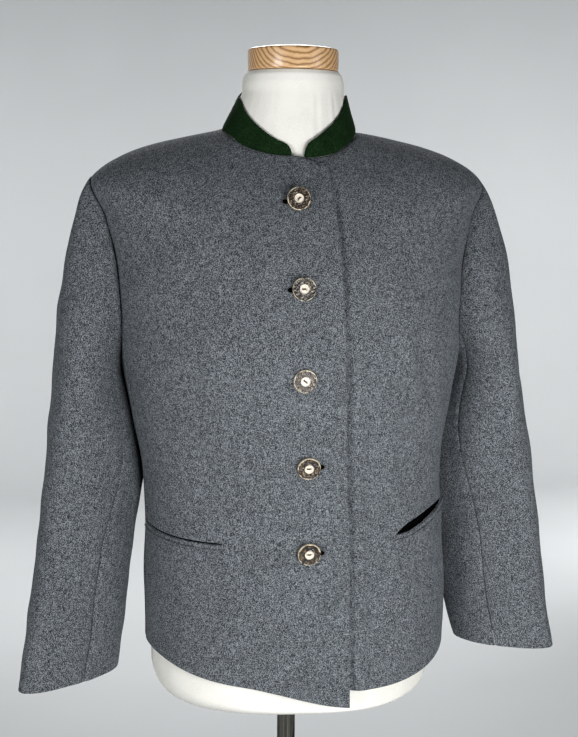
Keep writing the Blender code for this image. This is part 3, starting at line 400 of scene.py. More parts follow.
# Folds, seen in one of four views: the axes of a view, and the direction that faces it
FOLD_VIEWS = {"front": ((0, 2), 1, -1.0), "back": ((0, 2), 1, 1.0),
              "right": ((1, 2), 0, -1.0), "left": ((1, 2), 0, 1.0)}
FOLD_FACING = 0.35
FOLD_COMES = (-0.02, 0.25)
FOLD_GOES = (0.70, 1.02)
MILLIMETRE = 0.001
FOLDS = {  # view, and in millimetres height, width and line
    "front_right": (
        ("front", -1.6, 10, ((-128, 1005), (-120, 960), (-114, 905))),
        ("front", 1.2, 9, ((-110, 985), (-104, 940), (-101, 905))),
        ("front", -1.3, 12, ((-108, 870), (-100, 830), (-98, 800))),
        ("front", -1, 7, ((-158, 1010), (-146, 996), (-136, 985))),
        ("front", -1.2, 14, ((-50, 720), (-54, 680), (-52, 640))),
        ("front", 1, 12, ((-120, 700), (-126, 655), (-122, 630))),
        ("front", -0.8, 7, ((-36, 905), (-20, 915), (-10, 935))),
    ),
    "front_left": (
        ("front", -2.4, 10, ((120.9, 1002.8), (128.8, 953.6), (141.5, 900.7))),
        ("front", 1.4, 8, ((106, 990), (112, 945), (121, 910))),
        ("front", -1.8, 9, ((112.7, 850), (111.5, 818), (110.5, 790))),
        ("front", 1.2, 9, ((92, 865), (90, 830), (88, 805))),
        ("front", -1.6, 3.5, ((171.5, 1015.8), (159.7, 1003), (149.1, 990.1))),
        ("front", -1.2, 13, ((70, 730), (74, 690), (71, 645))),
    ),
    "back": (
        ("back", -1.8, 12, ((-112, 1030), (-104, 975), (-108, 915))),
        ("back", -2, 12, ((116, 1025), (109, 965), (104, 905))),
        ("back", -1.2, 10, ((-62, 905), (-20, 890), (18, 893))),
        ("back", -1, 9, ((10, 868), (48, 858), (83, 866))),
        ("back", 1.2, 14, ((-35, 760), (-40, 700), (-36, 650))),
        ("back", -1.4, 15, ((52, 745), (60, 690), (57, 640))),
        ("back", -1, 8, ((-150, 1020), (-135, 1002), (-122, 990))),
    ),
    "side_right": (("right", -1.2, 12, ((4, 930), (0, 880), (-4, 830))),),
    "side_left": (("left", -1.3, 12, ((8, 920), (4, 865), (1, 820))),),
    "sleeve_upper_right": (
        ("front", -1.8, 4.5, ((-197.9, 821.5), (-203.6, 802.9), (-209.2, 784))),
        ("front", 1, 8, ((-212, 832), (-220, 806), (-228, 785))),
        ("front", -1, 3.5, ((-230.3, 722.8), (-231.2, 708), (-231.8, 693.4))),
        ("front", -1.6, 9, ((-205, 930), (-215, 885), (-218, 850))),
        ("front", 1.2, 10, ((-236, 700), (-246, 650), (-252, 612))),
        ("front", -1.4, 10, ((-262, 985), (-258, 930), (-262, 880))),
        ("back", -1.8, 8, ((-252, 842), (-232, 822), (-214, 812))),
        ("back", -1.4, 7, ((-250, 806), (-228, 792), (-210, 790))),
        ("right", -1.4, 11, ((18, 960), (10, 905), (-2, 860))),
        ("left", 1.8, 30, ((-10, 985), (-12, 905), (-20, 835))),
        ("left", 2, 45, ((0, 880), (0, 850), (0, 825))),
    ),
    "sleeve_upper_left": (
        ("front", -2.6, 9, ((221.7, 890.5), (234.2, 832.2), (248.8, 761.6))),
        ("front", 1.4, 8, ((240, 888), (252, 835), (264, 780))),
        ("front", -1.4, 6, ((206, 812), (218, 800), (230, 796))),
        ("front", 1, 9, ((250, 690), (258, 650), (264, 615))),
        ("front", -1.4, 11, ((246, 990), (240, 940), (236, 905))),
        ("back", -1.8, 8, ((262, 838), (240, 822), (220, 815))),
        ("back", -1.3, 7, ((258, 802), (240, 790), (222, 788))),
        ("left", -1.4, 11, ((20, 965), (12, 905), (0, 855))),
    ),
    "sleeve_under_right": (
        ("right", -1, 8, ((-10, 830), (-18, 805), (-22, 780))),
        ("back", -1.5, 8, ((-206, 826), (-192, 818), (-180, 812))),
        ("left", 1.8, 30, ((-10, 985), (-12, 905), (-20, 835))),
        ("left", 2, 45, ((0, 880), (0, 850), (0, 825))),
    ),
    "sleeve_under_left": (
        ("front", -1.2, 6, ((186, 832), (192, 818), (200, 806))),
        ("back", -1.5, 8, ((208, 828), (196, 820), (184, 812))),
    ),
}

# Stretch and shift of a texture that has none
EVEN = (1.0, 1.0, 1.0)
NO_SHIFT = (0.0, 0.0, 0.0)

# Colours
BLACK = (0.0, 0.0, 0.0)
WHITE = (1.0, 1.0, 1.0)
LODEN_DARK = (0.0150, 0.0172, 0.0204)
LODEN_DEEP = (0.0545, 0.0605, 0.0680)
LODEN_MIDDLE = (0.1030, 0.1140, 0.1258)
LODEN_LIGHT = (0.2460, 0.2700, 0.2920)
LODEN_LINT = (0.3358, 0.3650, 0.3869)
LODEN_SHEEN = (0.75, 0.82, 0.9, 1.0)
FELT_DARK = (0.0022, 0.0080, 0.0024)
FELT_MIDDLE = (0.0055, 0.0180, 0.0052)
FELT_LIGHT = (0.0125, 0.0340, 0.0115)
FELT_SHEEN = (0.5, 0.9, 0.5, 1.0)
JERSEY_DARK = (0.72, 0.715, 0.66)
JERSEY_LIGHT = (0.86, 0.855, 0.80)
HORN_BLACK = (0.012, 0.010, 0.008)
HORN_BROWN = (0.040, 0.025, 0.015)
HORN_TAN = (0.17, 0.115, 0.070)
HORN_PALE = (0.38, 0.30, 0.21)
HORN_GREY_TINT = (0.62, 0.72, 0.78)
IVORY = (0.80, 0.74, 0.64)
IVORY_SHADE = (0.62, 0.54, 0.44)
RIM_CREAM = (0.72, 0.66, 0.52)
RIM_GOLD = (0.50, 0.38, 0.20)
THREAD_DARK = (0.020, 0.022, 0.025)
THREAD_GREY = (0.075, 0.085, 0.095)
BLACK_THREAD = (0.008, 0.008, 0.009)
# Painted shade: near-black colours inside the pocket slits and buttonhole slots. The lighter one is also the
# dark of the black button thread
SLOT_SHADE_AND_THREAD_DARK = (0.0025, 0.0025, 0.003)
SLOT_SHADE_BLACK = (0.0008, 0.0008, 0.001)
WOOD_LIGHT = (0.78, 0.50, 0.26)
WOOD_MIDDLE = (0.64, 0.39, 0.185)
WOOD_DARK = (0.30, 0.155, 0.062)
STEEL_DARK = (0.10, 0.097, 0.088)
STEEL_LIGHT = (0.28, 0.275, 0.255)
DRAWN_STREAKS = (900.0, 900.0, 6.0)
TURNED_STREAKS = (400.0, 400.0, 40.0)
# Studio paper: the colour high up is a little darker, painted shade for the light falling off up the wall
PAPER_LOW = (0.405, 0.418, 0.424)
PAPER_HIGH_SHADED = (0.395, 0.408, 0.414)

# Camera: place, degrees of its turn to the right, its look down and its roll, and its lens
CAMERA_PLACE = (-0.23934, -1.51116, 1.139)
CAMERA_HEADING = 9.0
CAMERA_PITCH = 7.698
CAMERA_ROLL = 0.5
CAMERA_LENS_MM = 66.315
CAMERA_FAR = 50.0
SENSOR_MM = 36.0

# Studio: floor and wall, and lights by name, place, aim, size and power
FLOOR_FRONT = -9.0
WALL_Y = 4.4
WALL_HEIGHT = 4.5
WALL_HALF_WIDTH = 9.0
COVE = 1.0
COVE_STEP = 6
LIGHTS = (
    ("near_middle", (0.22, -0.95, 0.80), (0.0, 0.0, 0.80), (0.4, 0.4), 7.8),
    ("key_left", (-1.9, -1.8, 1.05), (0.0, 0.0, 0.85), (0.9, 0.9), 34.0),
    ("side_right", (2.0, -1.6, 1.1), (0.0, 0.0, 0.90), (1.0, 1.0), 11.0),
    ("wall_left", (-2.2, 2.1, 0.9), (-1.0, 4.4, 1.15), (1.4, 1.4), 70.0),
    ("wall_right", (2.4, 2.1, 0.9), (1.3, 4.4, 1.15), (1.4, 1.4), 67.0),
    ("floor_behind", (0.2, 1.9, 2.3), (0.2, 1.7, 0.0), (1.2, 1.2), 72.0),
)
WORLD_COLOUR = (0.88, 0.90, 0.94, 1.0)
WORLD_STRENGTH = 0.05


# ---- curves and directions


def smooth_step(value, start, end):
    """0 before start, 1 after end, with a soft change between them."""
    share = np.clip((value - start) / (end - start), 0.0, 1.0)
    return share * share * (3.0 - 2.0 * share)


def between(value, rise, fall):
    """0 outside, 1 inside: softly up over one pair of limits and down over another."""
    return smooth_step(value, *rise) * (1.0 - smooth_step(value, *fall))


def bell(distance, width):
    """1 at no distance, dying away within a few widths."""
    return np.exp(-(distance / width) ** 2)


def moved(points, way, distance):
    """Points moved along their directions."""
    return points + way * distance[..., None]


def unit(vectors):
    """Vectors brought to length 1."""
    return vectors / np.linalg.norm(vectors, axis=-1, keepdims=True)


def columns_of(table, names):
    """The columns of a table by name, as arrays."""
    return {name: np.array(values) for name, values in zip(names, zip(*table))}


def eased(share, start, leave, end, arrive):
    """A curve from start to end at shares of the way, leaving and arriving in given directions."""
    square = share * share
    cube = square * share
    return ((2 * cube - 3 * square + 1) * start + (cube - 2 * square + share) * leave
            + (3 * square - 2 * cube) * end + (cube - square) * arrive)


def reached_along(points):
    """Distance of each point of a line from its start, along the line."""
    return np.concatenate(((0.0,), np.cumsum(np.linalg.norm(np.diff(points, axis=0), axis=1))))


def curve_through(values, steps, position):
    """A smooth curve through values, read at positions in rows. A step is the way to the next row."""
    position = np.asarray(position, dtype=float)
    slopes = np.diff(values) / steps
    joined = (slopes[:-1] * steps[1:] + slopes[1:] * steps[:-1]) / (steps[:-1] + steps[1:])
    joined = np.concatenate((slopes[:1], joined, slopes[-1:]))
    row = np.clip(np.floor(position).astype(int), 0, len(values) - 2)
    step = steps[row]
    return eased(position - row, values[row], joined[row] * step, values[row + 1], joined[row + 1] * step)


def body_steps():
    """Distance from each level of the body to the next: the mean of its front, back and side."""
    sides = (("y_front", "z_front"), ("y_back", "z_back"), ("half_width", "z_side"))
    lines = [np.stack([BODY_TABLE[name] for name in names]) for names in sides]
    return np.mean([np.linalg.norm(np.diff(line), axis=0) for line in lines], axis=0)


BODY_TABLE = columns_of(BODY_LEVELS, BODY_COLUMNS)
SLEEVE_TABLE = columns_of(SLEEVE_LEVELS, SLEEVE_COLUMNS)
BODY_STEPS = body_steps()
SLEEVE_STEPS = np.ones(len(SLEEVE_LEVELS) - 1)


def body_value(name, level):
    """A column of the body's table at any level."""
    return curve_through(BODY_TABLE[name], BODY_STEPS, level)


def body_point(angle, level):
    """Points of the jacket's outer surface, with the angle growing towards the wearer's left."""
    turn = np.radians(angle)
    sine = np.sin(turn)
    cosine = np.cos(turn)
    square = body_value("square", level)
    reach = (np.abs(sine) ** square + np.abs(cosine) ** square) ** (-1.0 / square)
    in_front = cosine >= 0.0
    y_side = body_value("y_side", level)
    z_side = body_value("z_side", level)
    depth = np.where(in_front, body_value("y_front", level), body_value("y_back", level)) - y_side
    rise = np.where(in_front, body_value("z_front", level), body_value("z_back", level)) - z_side
    x = body_value("half_width", level) * reach * sine
    return np.stack((
        x + body_value("x_mid", level),
        y_side + depth * reach * np.abs(cosine),
        z_side + rise * (1.0 - np.abs(sine) ** body_value("dip", level))
        + body_value("tilt", level) * x * np.abs(cosine),
    ), axis=-1)


def body_frame(angle, level):
    """Directions on the body: round it, up it and out of it."""
    step = 0.02
    round_it = unit(body_point(angle + step, level) - body_point(angle - step, level))
    up_it = unit(body_point(angle, level + step) - body_point(angle, level - step))
    return round_it, up_it, unit(np.cross(round_it, up_it))


def angle_at_x(x, level):
    """The angle in front at which the body has this x."""
    square = body_value("square", level)
    offset = x - body_value("x_mid", level)
    ratio = body_value("half_width", level) / np.maximum(np.abs(offset), 1e-9)
    return np.copysign(np.degrees(np.arctan((ratio ** square - 1.0) ** (-1.0 / square))), offset)


def upper_edge_x(level):
    """x of the upper front's edge at levels."""
    return np.interp(level, *zip(*UPPER_EDGE))


def gap_angle(angle, level):
    """Half of the seam gap, as an angle at this place on the body."""
    across = body_point(angle + 0.5, level) - body_point(angle - 0.5, level)
    return 0.5 * SEAM_GAP / np.linalg.norm(across, axis=-1)


def metres_per_level(angle, level):
    """How far apart two levels are at a place."""
    return np.linalg.norm(body_point(angle, level + 0.1) - body_point(angle, level - 0.1), axis=-1) / 0.2


# ---- seams of the body


def armhole_place(turn):
    """Angles and levels of the armhole's edge at turns from its top, 90 being in front."""
    sine = np.sin(np.radians(turn))
    cosine = np.cos(np.radians(turn))
    upper = cosine >= 0.0
    height = np.where(upper, SHOULDER - ARMHOLE_WIDEST, ARMHOLE_WIDEST - ARMHOLE_BOTTOM)
    taper = np.where(upper, ARMHOLE_TOP_TAPER, ARMHOLE_BOTTOM_TAPER)
    reach = np.where(sine >= 0.0, ARMHOLE_REACH_FRONT, ARMHOLE_REACH_BACK)
    return 90.0 - np.copysign(reach * np.abs(sine) ** taper, sine), ARMHOLE_WIDEST + cosine * height


def seam_place(hem_angle, corner_turn, level):
    """Angle of a side panel's seam: plumb up to the waist, then curving to the armhole."""
    corner_angle, corner_level = armhole_place(corner_turn)
    turning = (SEAM_TURN_START, corner_level + SEAM_TURN_PAST_CORNER)
    share = smooth_step(level, *turning)
    return hem_angle + (corner_angle - hem_angle) * share / smooth_step(corner_level, *turning)


CORNER_LEVEL = float(armhole_place(PANEL_CORNER_TURN)[1])


# ---- grids and shells


def with_edge_stops(length, middle):
    """Shares along a length: close together at both ends and even between."""
    ends = EDGE_STOPS / length
    first, last = ends[-1], 1.0 - ends[-1]
    even = np.linspace(0.0, 1.0, middle + 1)[1:-1]
    return np.concatenate((ends, first + (last - first) * even, (1.0 - ends)[::-1]))


def spread_along(line, start, stop, samples, middle):
    """Values from start to stop that part a line of points as with_edge_stops parts a length."""
    fine = np.linspace(start, stop, samples)
    reached = reached_along(line(fine))
    return np.interp(with_edge_stops(reached[-1], middle) * reached[-1], reached, fine)


def edge_distances(points):
    """Distance of every grid point from the grid's four edges, along its rows and columns."""
    across = np.linalg.norm(np.diff(points, axis=1), axis=-1)
    along = np.linalg.norm(np.diff(points, axis=0), axis=-1)
    start = np.concatenate((np.zeros((points.shape[0], 1)), np.cumsum(across, axis=1)), axis=1)
    bottom = np.concatenate((np.zeros((1, points.shape[1])), np.cumsum(along, axis=0)), axis=0)
    return {"start": start, "stop": start[:, -1:] - start, "bottom": bottom, "top": bottom[-1:] - bottom}


def grid_normals(points, outward):
    """Normals of a grid of points, on the side that outward points to."""
    normals = np.cross(np.gradient(points, axis=1), np.gradient(points, axis=0))
    normals = unit(normals + 1e-15)
    return normals * math.copysign(1.0, float(np.sum(normals * outward)))


def shell(name, points, outward, seams, material, thickness=CLOTH):
    """A closed cloth shell under a grid of outer points, with rounded edges and sunken seams."""
    distances = edge_distances(points)
    if seams:
        nearest = np.min([distances[seam] for seam in seams], axis=0)
        points = moved(points, grid_normals(points, outward), -SEAM_VALLEY * bell(nearest, SEAM_VALLEY_WIDTH))
    normals = grid_normals(points, outward)
    middle = points - normals * thickness / 2.0
    skin = normals * edge_rounding(distances, thickness)
    return closed_mesh(name, middle + skin, middle - skin, material)


def edge_rounding(distances, thickness):
    """Half the thickness of cloth, drawn in to nothing along a rounded edge."""
    half = thickness / 2.0
    to_edge = np.minimum(np.min(list(distances.values()), axis=0), half)
    return np.sqrt(np.maximum(half * half - (half - to_edge) ** 2, 0.0))[..., None]


def closed_mesh(name, outer, inner, material):
    """A closed mesh of two grids that share their border points."""
    rows, columns = outer.shape[:2]
    outer_index = np.arange(rows * columns).reshape(rows, columns)
    inner_index = outer_index.copy()
    inside = np.zeros((rows, columns), dtype=bool)
    inside[1:-1, 1:-1] = True
    inner_index[inside] = rows * columns + np.arange(inside.sum())
    points = np.concatenate((outer.reshape(-1, 3), inner[inside]))
    faces = []
    for index, turned in ((outer_index, False), (inner_index, True)):
        corners = [index[:-1, :-1], index[:-1, 1:], index[1:, 1:], index[1:, :-1]]
        if turned:
            corners.reverse()
        faces.append(np.stack(corners, axis=-1).reshape(-1, 4))
    return mesh_object(name, points, np.concatenate(faces), material)


def mesh_object(name, points, faces, material):
    """An object with this closed mesh of four-sided faces, pointing out."""
    volume = 0.0
    for corners in (points[faces[:, :3]], points[faces[:, [0, 2, 3]]]):
        volume += np.sum(corners[:, 0] * np.cross(corners[:, 1], corners[:, 2]))
    if volume < 0.0:
        faces = faces[:, ::-1]
    mesh = bpy.data.meshes.new(name)
    mesh.from_pydata(points.tolist(), [], faces.tolist())
    return smooth_object(name, mesh, material)


def object_of(name, solid, material, closed=True):
    """An object from a bmesh. The faces of a closed one are made to point out."""
    if closed:
        bmesh.ops.recalc_face_normals(solid, faces=solid.faces)
    mesh = bpy.data.meshes.new(name)
    solid.to_mesh(mesh)
    solid.free()
    return smooth_object(name, mesh, material)


def smooth_object(name, mesh, material):
    """An object with this mesh, smooth-shaded in one material."""
    mesh.shade_smooth()
    mesh.materials.append(material)
    return linked(name, mesh)


def linked(name, data):
    """An object with this data, in the scene."""
    thing = bpy.data.objects.new(name, data)
    bpy.context.scene.collection.objects.link(thing)
    return thing


def join_rings(solid, rings):
    """Faces between each ring of corners and the next."""
    for near, far in zip(rings, rings[1:]):
        for side in range(len(near)):
            beside = (side + 1) % len(near)
            solid.faces.new((near[side], near[beside], far[beside], far[side]))


def close_ring(solid, ring, middle):
    """Faces from a ring of corners to one in its middle."""
    for side in range(len(ring)):
        solid.faces.new((ring[side], ring[(side + 1) % len(ring)], middle))


def unevenness(points, seed, amount, wave):
    """Soft, irregular swells of the cloth, in metres, over points in space."""
    draw = np.random.default_rng(seed)
    total = np.zeros(points.shape[:-1])
    for _ in range(SWELL_WAVES):
        direction = unit(draw.normal(size=3))
        length = wave * draw.uniform(*SWELL_WAVE_LENGTHS)
        total += np.sin(points @ direction * (2.0 * math.pi / length) + draw.uniform(0.0, 2.0 * math.pi))
    return amount * total / SWELL_SHARE


def swells(points, part, side=0):
    """Unevenness of a part of the body or of a sleeve, each side with its own."""
    seed, wave = SWELLS[part]
    return unevenness(points, seed + side, SWELL, wave)


def fold_rise(flat_points, line, height, width):
    """Height of a fold, a ridge or with a negative height a trough, along a line of points."""
    rise = np.zeros(flat_points.shape[:-1])
    steps = np.linalg.norm(np.diff(line, axis=0), axis=1)
    total = steps.sum()
    done = 0.0
    for start, end, step in zip(line, line[1:], steps):
        way = (end - start) / step
        offset = flat_points - start
        along = np.clip(offset @ way, 0.0, step)
        away = np.linalg.norm(offset - along[..., None] * way, axis=-1)
        fade = between((done + along) / total, FOLD_COMES, FOLD_GOES)
        rise = np.maximum(rise, bell(away, width) * fade)
        done += step
    return height * rise


def folds(points, normals, table):
    """Sum of the folds of a table over grid points. Each lies on the side its view shows."""
    total = np.zeros(points.shape[:-1])
    for view, height, width, line in table:
        axes, toward, sign = FOLD_VIEWS[view]
        facing = smooth_step(sign * normals[..., toward], 0.0, FOLD_FACING)
        line = MILLIMETRE * np.array(line)
        total += fold_rise(points[..., axes], line, MILLIMETRE * height, MILLIMETRE * width) * facing
    return total


# ---- body panels


def pocket_profile(pocket, angle):
    """How open a pocket's slit is at an angle, 1 along it and 0 from its ends on."""
    start, end = pocket["start"], pocket["end"]
    return between(np.abs(angle), (start, start + pocket["opens"]), (end - pocket["closes"], end))


def slit_level(pocket, angle):
    """Level of a pocket's slit at an angle: an even curve, carried on a little beyond its ends."""
    share = (np.abs(angle) - pocket["start"]) / (pocket["end"] - pocket["start"])
    share = np.clip(share, -SLIT_CARRY_ON, 1.0 + SLIT_CARRY_ON)
    rest = 1.0 - share
    start, middle, end = pocket["levels"]
    return start * rest * (rest - share) + middle * 4.0 * share * rest + end * share * (share - rest)


def slit_rows():
    """Rows across a slit: half gaps and metres from its line, depth, inner widening and side."""
    rows = []
    for reach in EDGE_STOPS[::-1]:
        rounding = SLIT_LIP_RADIUS ** 2 - max(SLIT_LIP_RADIUS - reach, 0.0) ** 2
        depth = SLIT_LIP_RADIUS - math.sqrt(max(rounding, 0.0))
        rows.append((1.0, reach, depth, math.exp(-reach / SLIT_INNER_FADE)))
    rows += [(gap, 0.0, depth, 1.0) for gap, depth in SLIT_WALL]
    lower = [row + (-1.0,) for row in rows]
    upper = [row + (1.0,) for row in reversed(rows)]
    return lower + [(0.0, 0.0, SLIT_DEPTH, 0.0, 1.0)] + upper


def upper_front_place(angle, level):
    """Angles, levels and lift of the upper front: its lap, its low corner and its neck step."""
    x = body_point(angle, level)[..., 0]
    low = smooth_step(x, CORNER_DROP_START_X, UPPER_EDGE[0][1]) * (1.0 - smooth_step(level, HEM, WAIST))
    step = smooth_step(x, NECK_STEP_START_X, UPPER_EDGE[-1][1]) * smooth_step(level, NECK - 2.0, NECK)
    level_height = BODY_LEVELS[HEM][0] - BODY_LEVELS[0][0]
    lowered = level - CORNER_DROP / level_height * low - NECK_STEP * step
    angle = np.where(lowered != level, angle_at_x(x, lowered), angle)
    return angle, lowered, LAP_LIFT * smooth_step(x, LAP_START_X, LAP_END_X)


def panel_rows(side):
    """Rows of a front or, with side 0, of the back: outer edge angle, level and slit row."""
    hem_angle, corner = FRONT_SEAM_ANGLE, PANEL_CORNER_TURN
    hem_stops = HEM + EDGE_STOPS / HEM_LEVEL_HEIGHT
    rows = [(level, None) for level in hem_stops[:-1]]
    if side:
        middle = POCKETS[side]["levels"][1]
        margin = (EDGE_STOPS[-1] + POCKETS[side]["gap"] / 2.0) / POCKET_LEVEL_HEIGHT + SLIT_ROOM_LEVELS
        rows += [(level, None) for level in np.linspace(hem_stops[-1], middle - margin, HEM_TO_SLIT_ROWS)]
        rows += [(middle, slit_row) for slit_row in slit_rows()]
        rows += [(level, None) for level in np.linspace(middle + margin, CORNER_LEVEL, SLIT_TO_ARMHOLE_ROWS)]
    else:
        hem_angle, corner = BACK_SEAM_ANGLE, -PANEL_CORNER_TURN
        even = np.linspace(hem_stops[-1], CORNER_LEVEL, HEM_TO_SLIT_ROWS + SLIT_TO_ARMHOLE_ROWS)
        rows += [(level, None) for level in even]
    placed = [(seam_place(hem_angle, corner, level), level, slit_row) for level, slit_row in rows]
    turns = np.linspace(PANEL_CORNER_TURN, 0.0, ARMHOLE_ROWS + 1)[1:]
    placed += [(*armhole_place(math.copysign(turn, corner)), None) for turn in turns]
    top_stops = NECK - EDGE_STOPS[::-1] / NECK_LEVEL_HEIGHT
    shoulder = np.linspace(SHOULDER, top_stops[0], SHOULDER_ROWS)[1:]
    return placed + [(90.0, level, None) for level in np.concatenate((shoulder, top_stops[1:]))]


def body_row(start, stop, level, middle):
    """Angles along a row of the body, close together at its ends and evenly far apart between."""
    return spread_along(lambda fine: body_point(fine, np.full_like(fine, level)), start, stop,
                        ROW_SAMPLES, middle)


def front_grid(side):
    """Angles and levels of a front, depths of its slit and shifts of its inner points' levels."""
    pocket = POCKETS[side]
    middle = pocket["levels"][1]
    rows = []
    for outer_angle, level, slit_row in panel_rows(side):
        outer_angle = side * (outer_angle - gap_angle(outer_angle, level))
        edge_x = UNDER_EDGE_X if side > 0 else upper_edge_x(level)
        angles = body_row(float(angle_at_x(edge_x, level)), float(outer_angle), level, FRONT_COLUMNS)
        fade = 1.0 - smooth_step(abs(level - middle), *SLIT_FADE_LEVELS)
        line = level + (slit_level(pocket, angles) - middle) * fade
        depth = np.zeros_like(angles)
        dilation = np.zeros_like(angles)
        if slit_row:
            gaps, metres, row_depth, dilate, sign = slit_row
            share = pocket_profile(pocket, angles)
            offset = sign * (gaps * pocket["gap"] / 2.0 * share + metres
                             + (1.0 - share) * gaps * SLIT_CLOSED_STEP)
            per_level = metres_per_level(angles, line)
            line = line + offset / per_level
            depth = row_depth * share
            dilation = sign * dilate * CLOTH * share / per_level
        rows.append((angles, line, depth, dilation))
    return (np.array(values) for values in zip(*rows))


def lifted(side, angle, level):
    """Outer point and way out of a front at a place, with the lap of the upper front."""
    lift = np.zeros_like(angle)
    if side < 0:
        angle, level, lift = upper_front_place(angle, level)
    normal = body_frame(angle, level)[2]
    return moved(body_point(angle, level), normal, lift), normal


def lip_rise(side, angle, level):
    """How far the cloth stands out round a pocket's slit: its lower lip sags outward."""
    pocket = POCKETS[side]
    start, end = pocket["start"], pocket["end"]
    away = (level - slit_level(pocket, angle)) * POCKET_LEVEL_HEIGHT
    upright = np.where(away < 0.0, bell(away, LIP_WIDTH_BELOW), bell(away, LIP_WIDTH_ABOVE) * LIP_SHARE_ABOVE)
    reach = np.abs(angle)
    fade = 1.0 - LIP_FADE_SHARE * smooth_step(reach, end + LIP_FADE[0], end + LIP_FADE[1])
    return pocket["lip"] * upright * smooth_step(reach, start + LIP_GROWS[0], end + LIP_GROWS[1]) * fade


def closure_rise(side, plain, level):
    """Roll of the upper front's edge, or dip and swell of the under front beside it."""
    past_edge = plain[..., 0] - upper_edge_x(level)
    below_neck = 1.0 - smooth_step(plain[..., 2], *CLOSURE_FADE_Z)
    if side < 0:
        return EDGE_ROLL * bell(past_edge, EDGE_ROLL_WIDTH) * below_neck
    ridge = RIDGE_SHARE * bell(past_edge - RIDGE_PLACE, RIDGE_WIDTH)
    return EDGE_DIP * (ridge - bell(past_edge - DIP_PLACE, DIP_WIDTH)) * below_neck


def add_front(node, side, material, dark):
    """A front with its pocket slit, as one closed shell whose slit's deep faces are painted near black as
    shade.
    """
    angle, level, depth, dilation = front_grid(side)
    plain, way = lifted(side, angle, level)
    rise = lip_rise(side, angle, level) + swells(plain, "front", side) * swell_room(plain)
    rise = rise + folds(plain, way, FOLDS[node]) + closure_rise(side, plain, level)
    base = moved(plain, way, rise)
    distances = edge_distances(base)
    valley = SEAM_VALLEY * bell(np.minimum(distances["stop"], distances["top"]), SEAM_VALLEY_WIDTH)
    trough = STITCH_TROUGH * bell(distances["start"] - EDGE_STITCH_IN, STITCH_TROUGH_WIDTH)
    trough = trough * smooth_step(distances["bottom"], 0.0, STITCH_TROUGH_START)
    outer = moved(base, way, -depth - valley - trough)
    under, under_way = lifted(side, angle, level + dilation)
    inner = moved(under, under_way, np.minimum(rise, rise * INNER_SHARE + INNER_SLACK) - depth - CLOTH)
    skin = (outer - inner) / 2.0 * edge_rounding(distances, CLOTH) / (CLOTH / 2.0)
    middle = (outer + inner) / 2.0
    front = closed_mesh(node + "_cloth", middle + skin, middle - skin, material)
    # The deep faces of the slit take the near-black material of painted shade
    front.data.materials.append(dark)
    deep = ((depth[:-1, :-1] + depth[1:, 1:]) / 2.0 > SLIT_SHADE_DEPTH).astype(np.int32).ravel()
    front.data.polygons.foreach_set("material_index", np.concatenate((deep, np.zeros_like(deep))))
    return front


def swell_room(points):
    """Where the cloth lies on the form it can't swell inward, so it swells less there."""
    return 1.0 - SWELL_LESS * smooth_step(points[..., 2], *SWELL_LESS_Z)


def panel_shell(node, angle, level, extra, material):
    """A body panel's shell through places on the body, with its folds and some extra rise."""
    plain = body_point(angle, level)
    way = body_frame(angle, level)[2]
    points = moved(plain, way, extra(plain) + folds(plain, way, FOLDS[node]))
    return shell(node + "_cloth", points, way, ("start", "stop", "top"), material)


def add_back(node, material):
    """The back in one piece."""
    angles, levels = [], []
    for left_angle, level, _ in panel_rows(0):
        left_angle = float(left_angle + gap_angle(left_angle, level))
        angles.append(body_row(left_angle, 360.0 - left_angle, level, BACK_COLUMNS))
        levels.append(np.full_like(angles[-1], level))
    return panel_shell(node, np.array(angles), np.array(levels),
                       lambda plain: swells(plain, "back") * swell_room(plain), material)


def add_side(node, side, material):
    """A side panel, whose upper edge is the bottom of the armhole."""
    angles, levels = [], []
    for climb in with_edge_stops(SIDE_HEIGHT, HEM_TO_SLIT_ROWS + SLIT_TO_ARMHOLE_ROWS):
        level = HEM + (CORNER_LEVEL - HEM) * climb
        start = seam_place(FRONT_SEAM_ANGLE, PANEL_CORNER_TURN, level)
        stop = seam_place(BACK_SEAM_ANGLE, -PANEL_CORNER_TURN, level)
        start = start + gap_angle(start, level)
        stop = stop - gap_angle(stop, level)
        ends = body_point(np.array((start, stop)), np.full(2, level))
        across = with_edge_stops(float(np.linalg.norm(ends[1] - ends[0])), SIDE_COLUMNS)
        top_angle, top_level = armhole_place(PANEL_CORNER_TURN + (360.0 - 2.0 * PANEL_CORNER_TURN) * across)
        even_top = top_angle[0] + (top_angle[-1] - top_angle[0]) * across
        angles.append(side * (start + (stop - start) * across + climb ** 4 * (top_angle - even_top)))
        levels.append(level + climb * (top_level - CORNER_LEVEL))
    angle, level = np.array(angles), np.array(levels)
    away = (level - POCKETS[side]["levels"][2]) * POCKET_LEVEL_HEIGHT
    fade = 1.0 - smooth_step(np.abs(angle), FRONT_SEAM_ANGLE, FRONT_SEAM_ANGLE + LIP_FADE_SIDE)
    lip = POCKETS[side]["lip"] * LIP_SHARE_SIDE * bell(away, LIP_WIDTH_BELOW) * fade
    return panel_shell(node, angle, level, lambda plain: lip + swells(plain, "side", side), material)


# ---- sleeves


def sleeve_ring_point(turn, level, side):
    """Points of the sleeve's tube at levels of its table, on the wearer's left (1) or right (-1)."""
    arm = "left" if side > 0 else "right"
    outer, inner, y, z, drop, half_depth = (
        curve_through(SLEEVE_TABLE[name], SLEEVE_STEPS, level)
        for name in ("outer_" + arm, "inner_" + arm, "y_" + arm, "z_" + arm, "drop_" + arm, "half_depth"))
    sine = np.sin(np.radians(turn))
    cosine = np.cos(np.radians(turn))
    reach = (np.abs(sine) ** SLEEVE_SQUARE + np.abs(cosine) ** SLEEVE_SQUARE) ** (-1.0 / SLEEVE_SQUARE)
    sideways = (outer - inner) / 2.0 * reach * cosine
    return np.stack((
        side * ((outer + inner) / 2.0 + sideways),
        y - half_depth * reach * sine - SLEEVE_LEAN * sideways,
        z - drop * cosine,
    ), axis=-1)


def armhole_point(turn, side):
    """Points of the armhole's edge."""
    angle, level = armhole_place(turn)
    return body_point(side * angle, level)


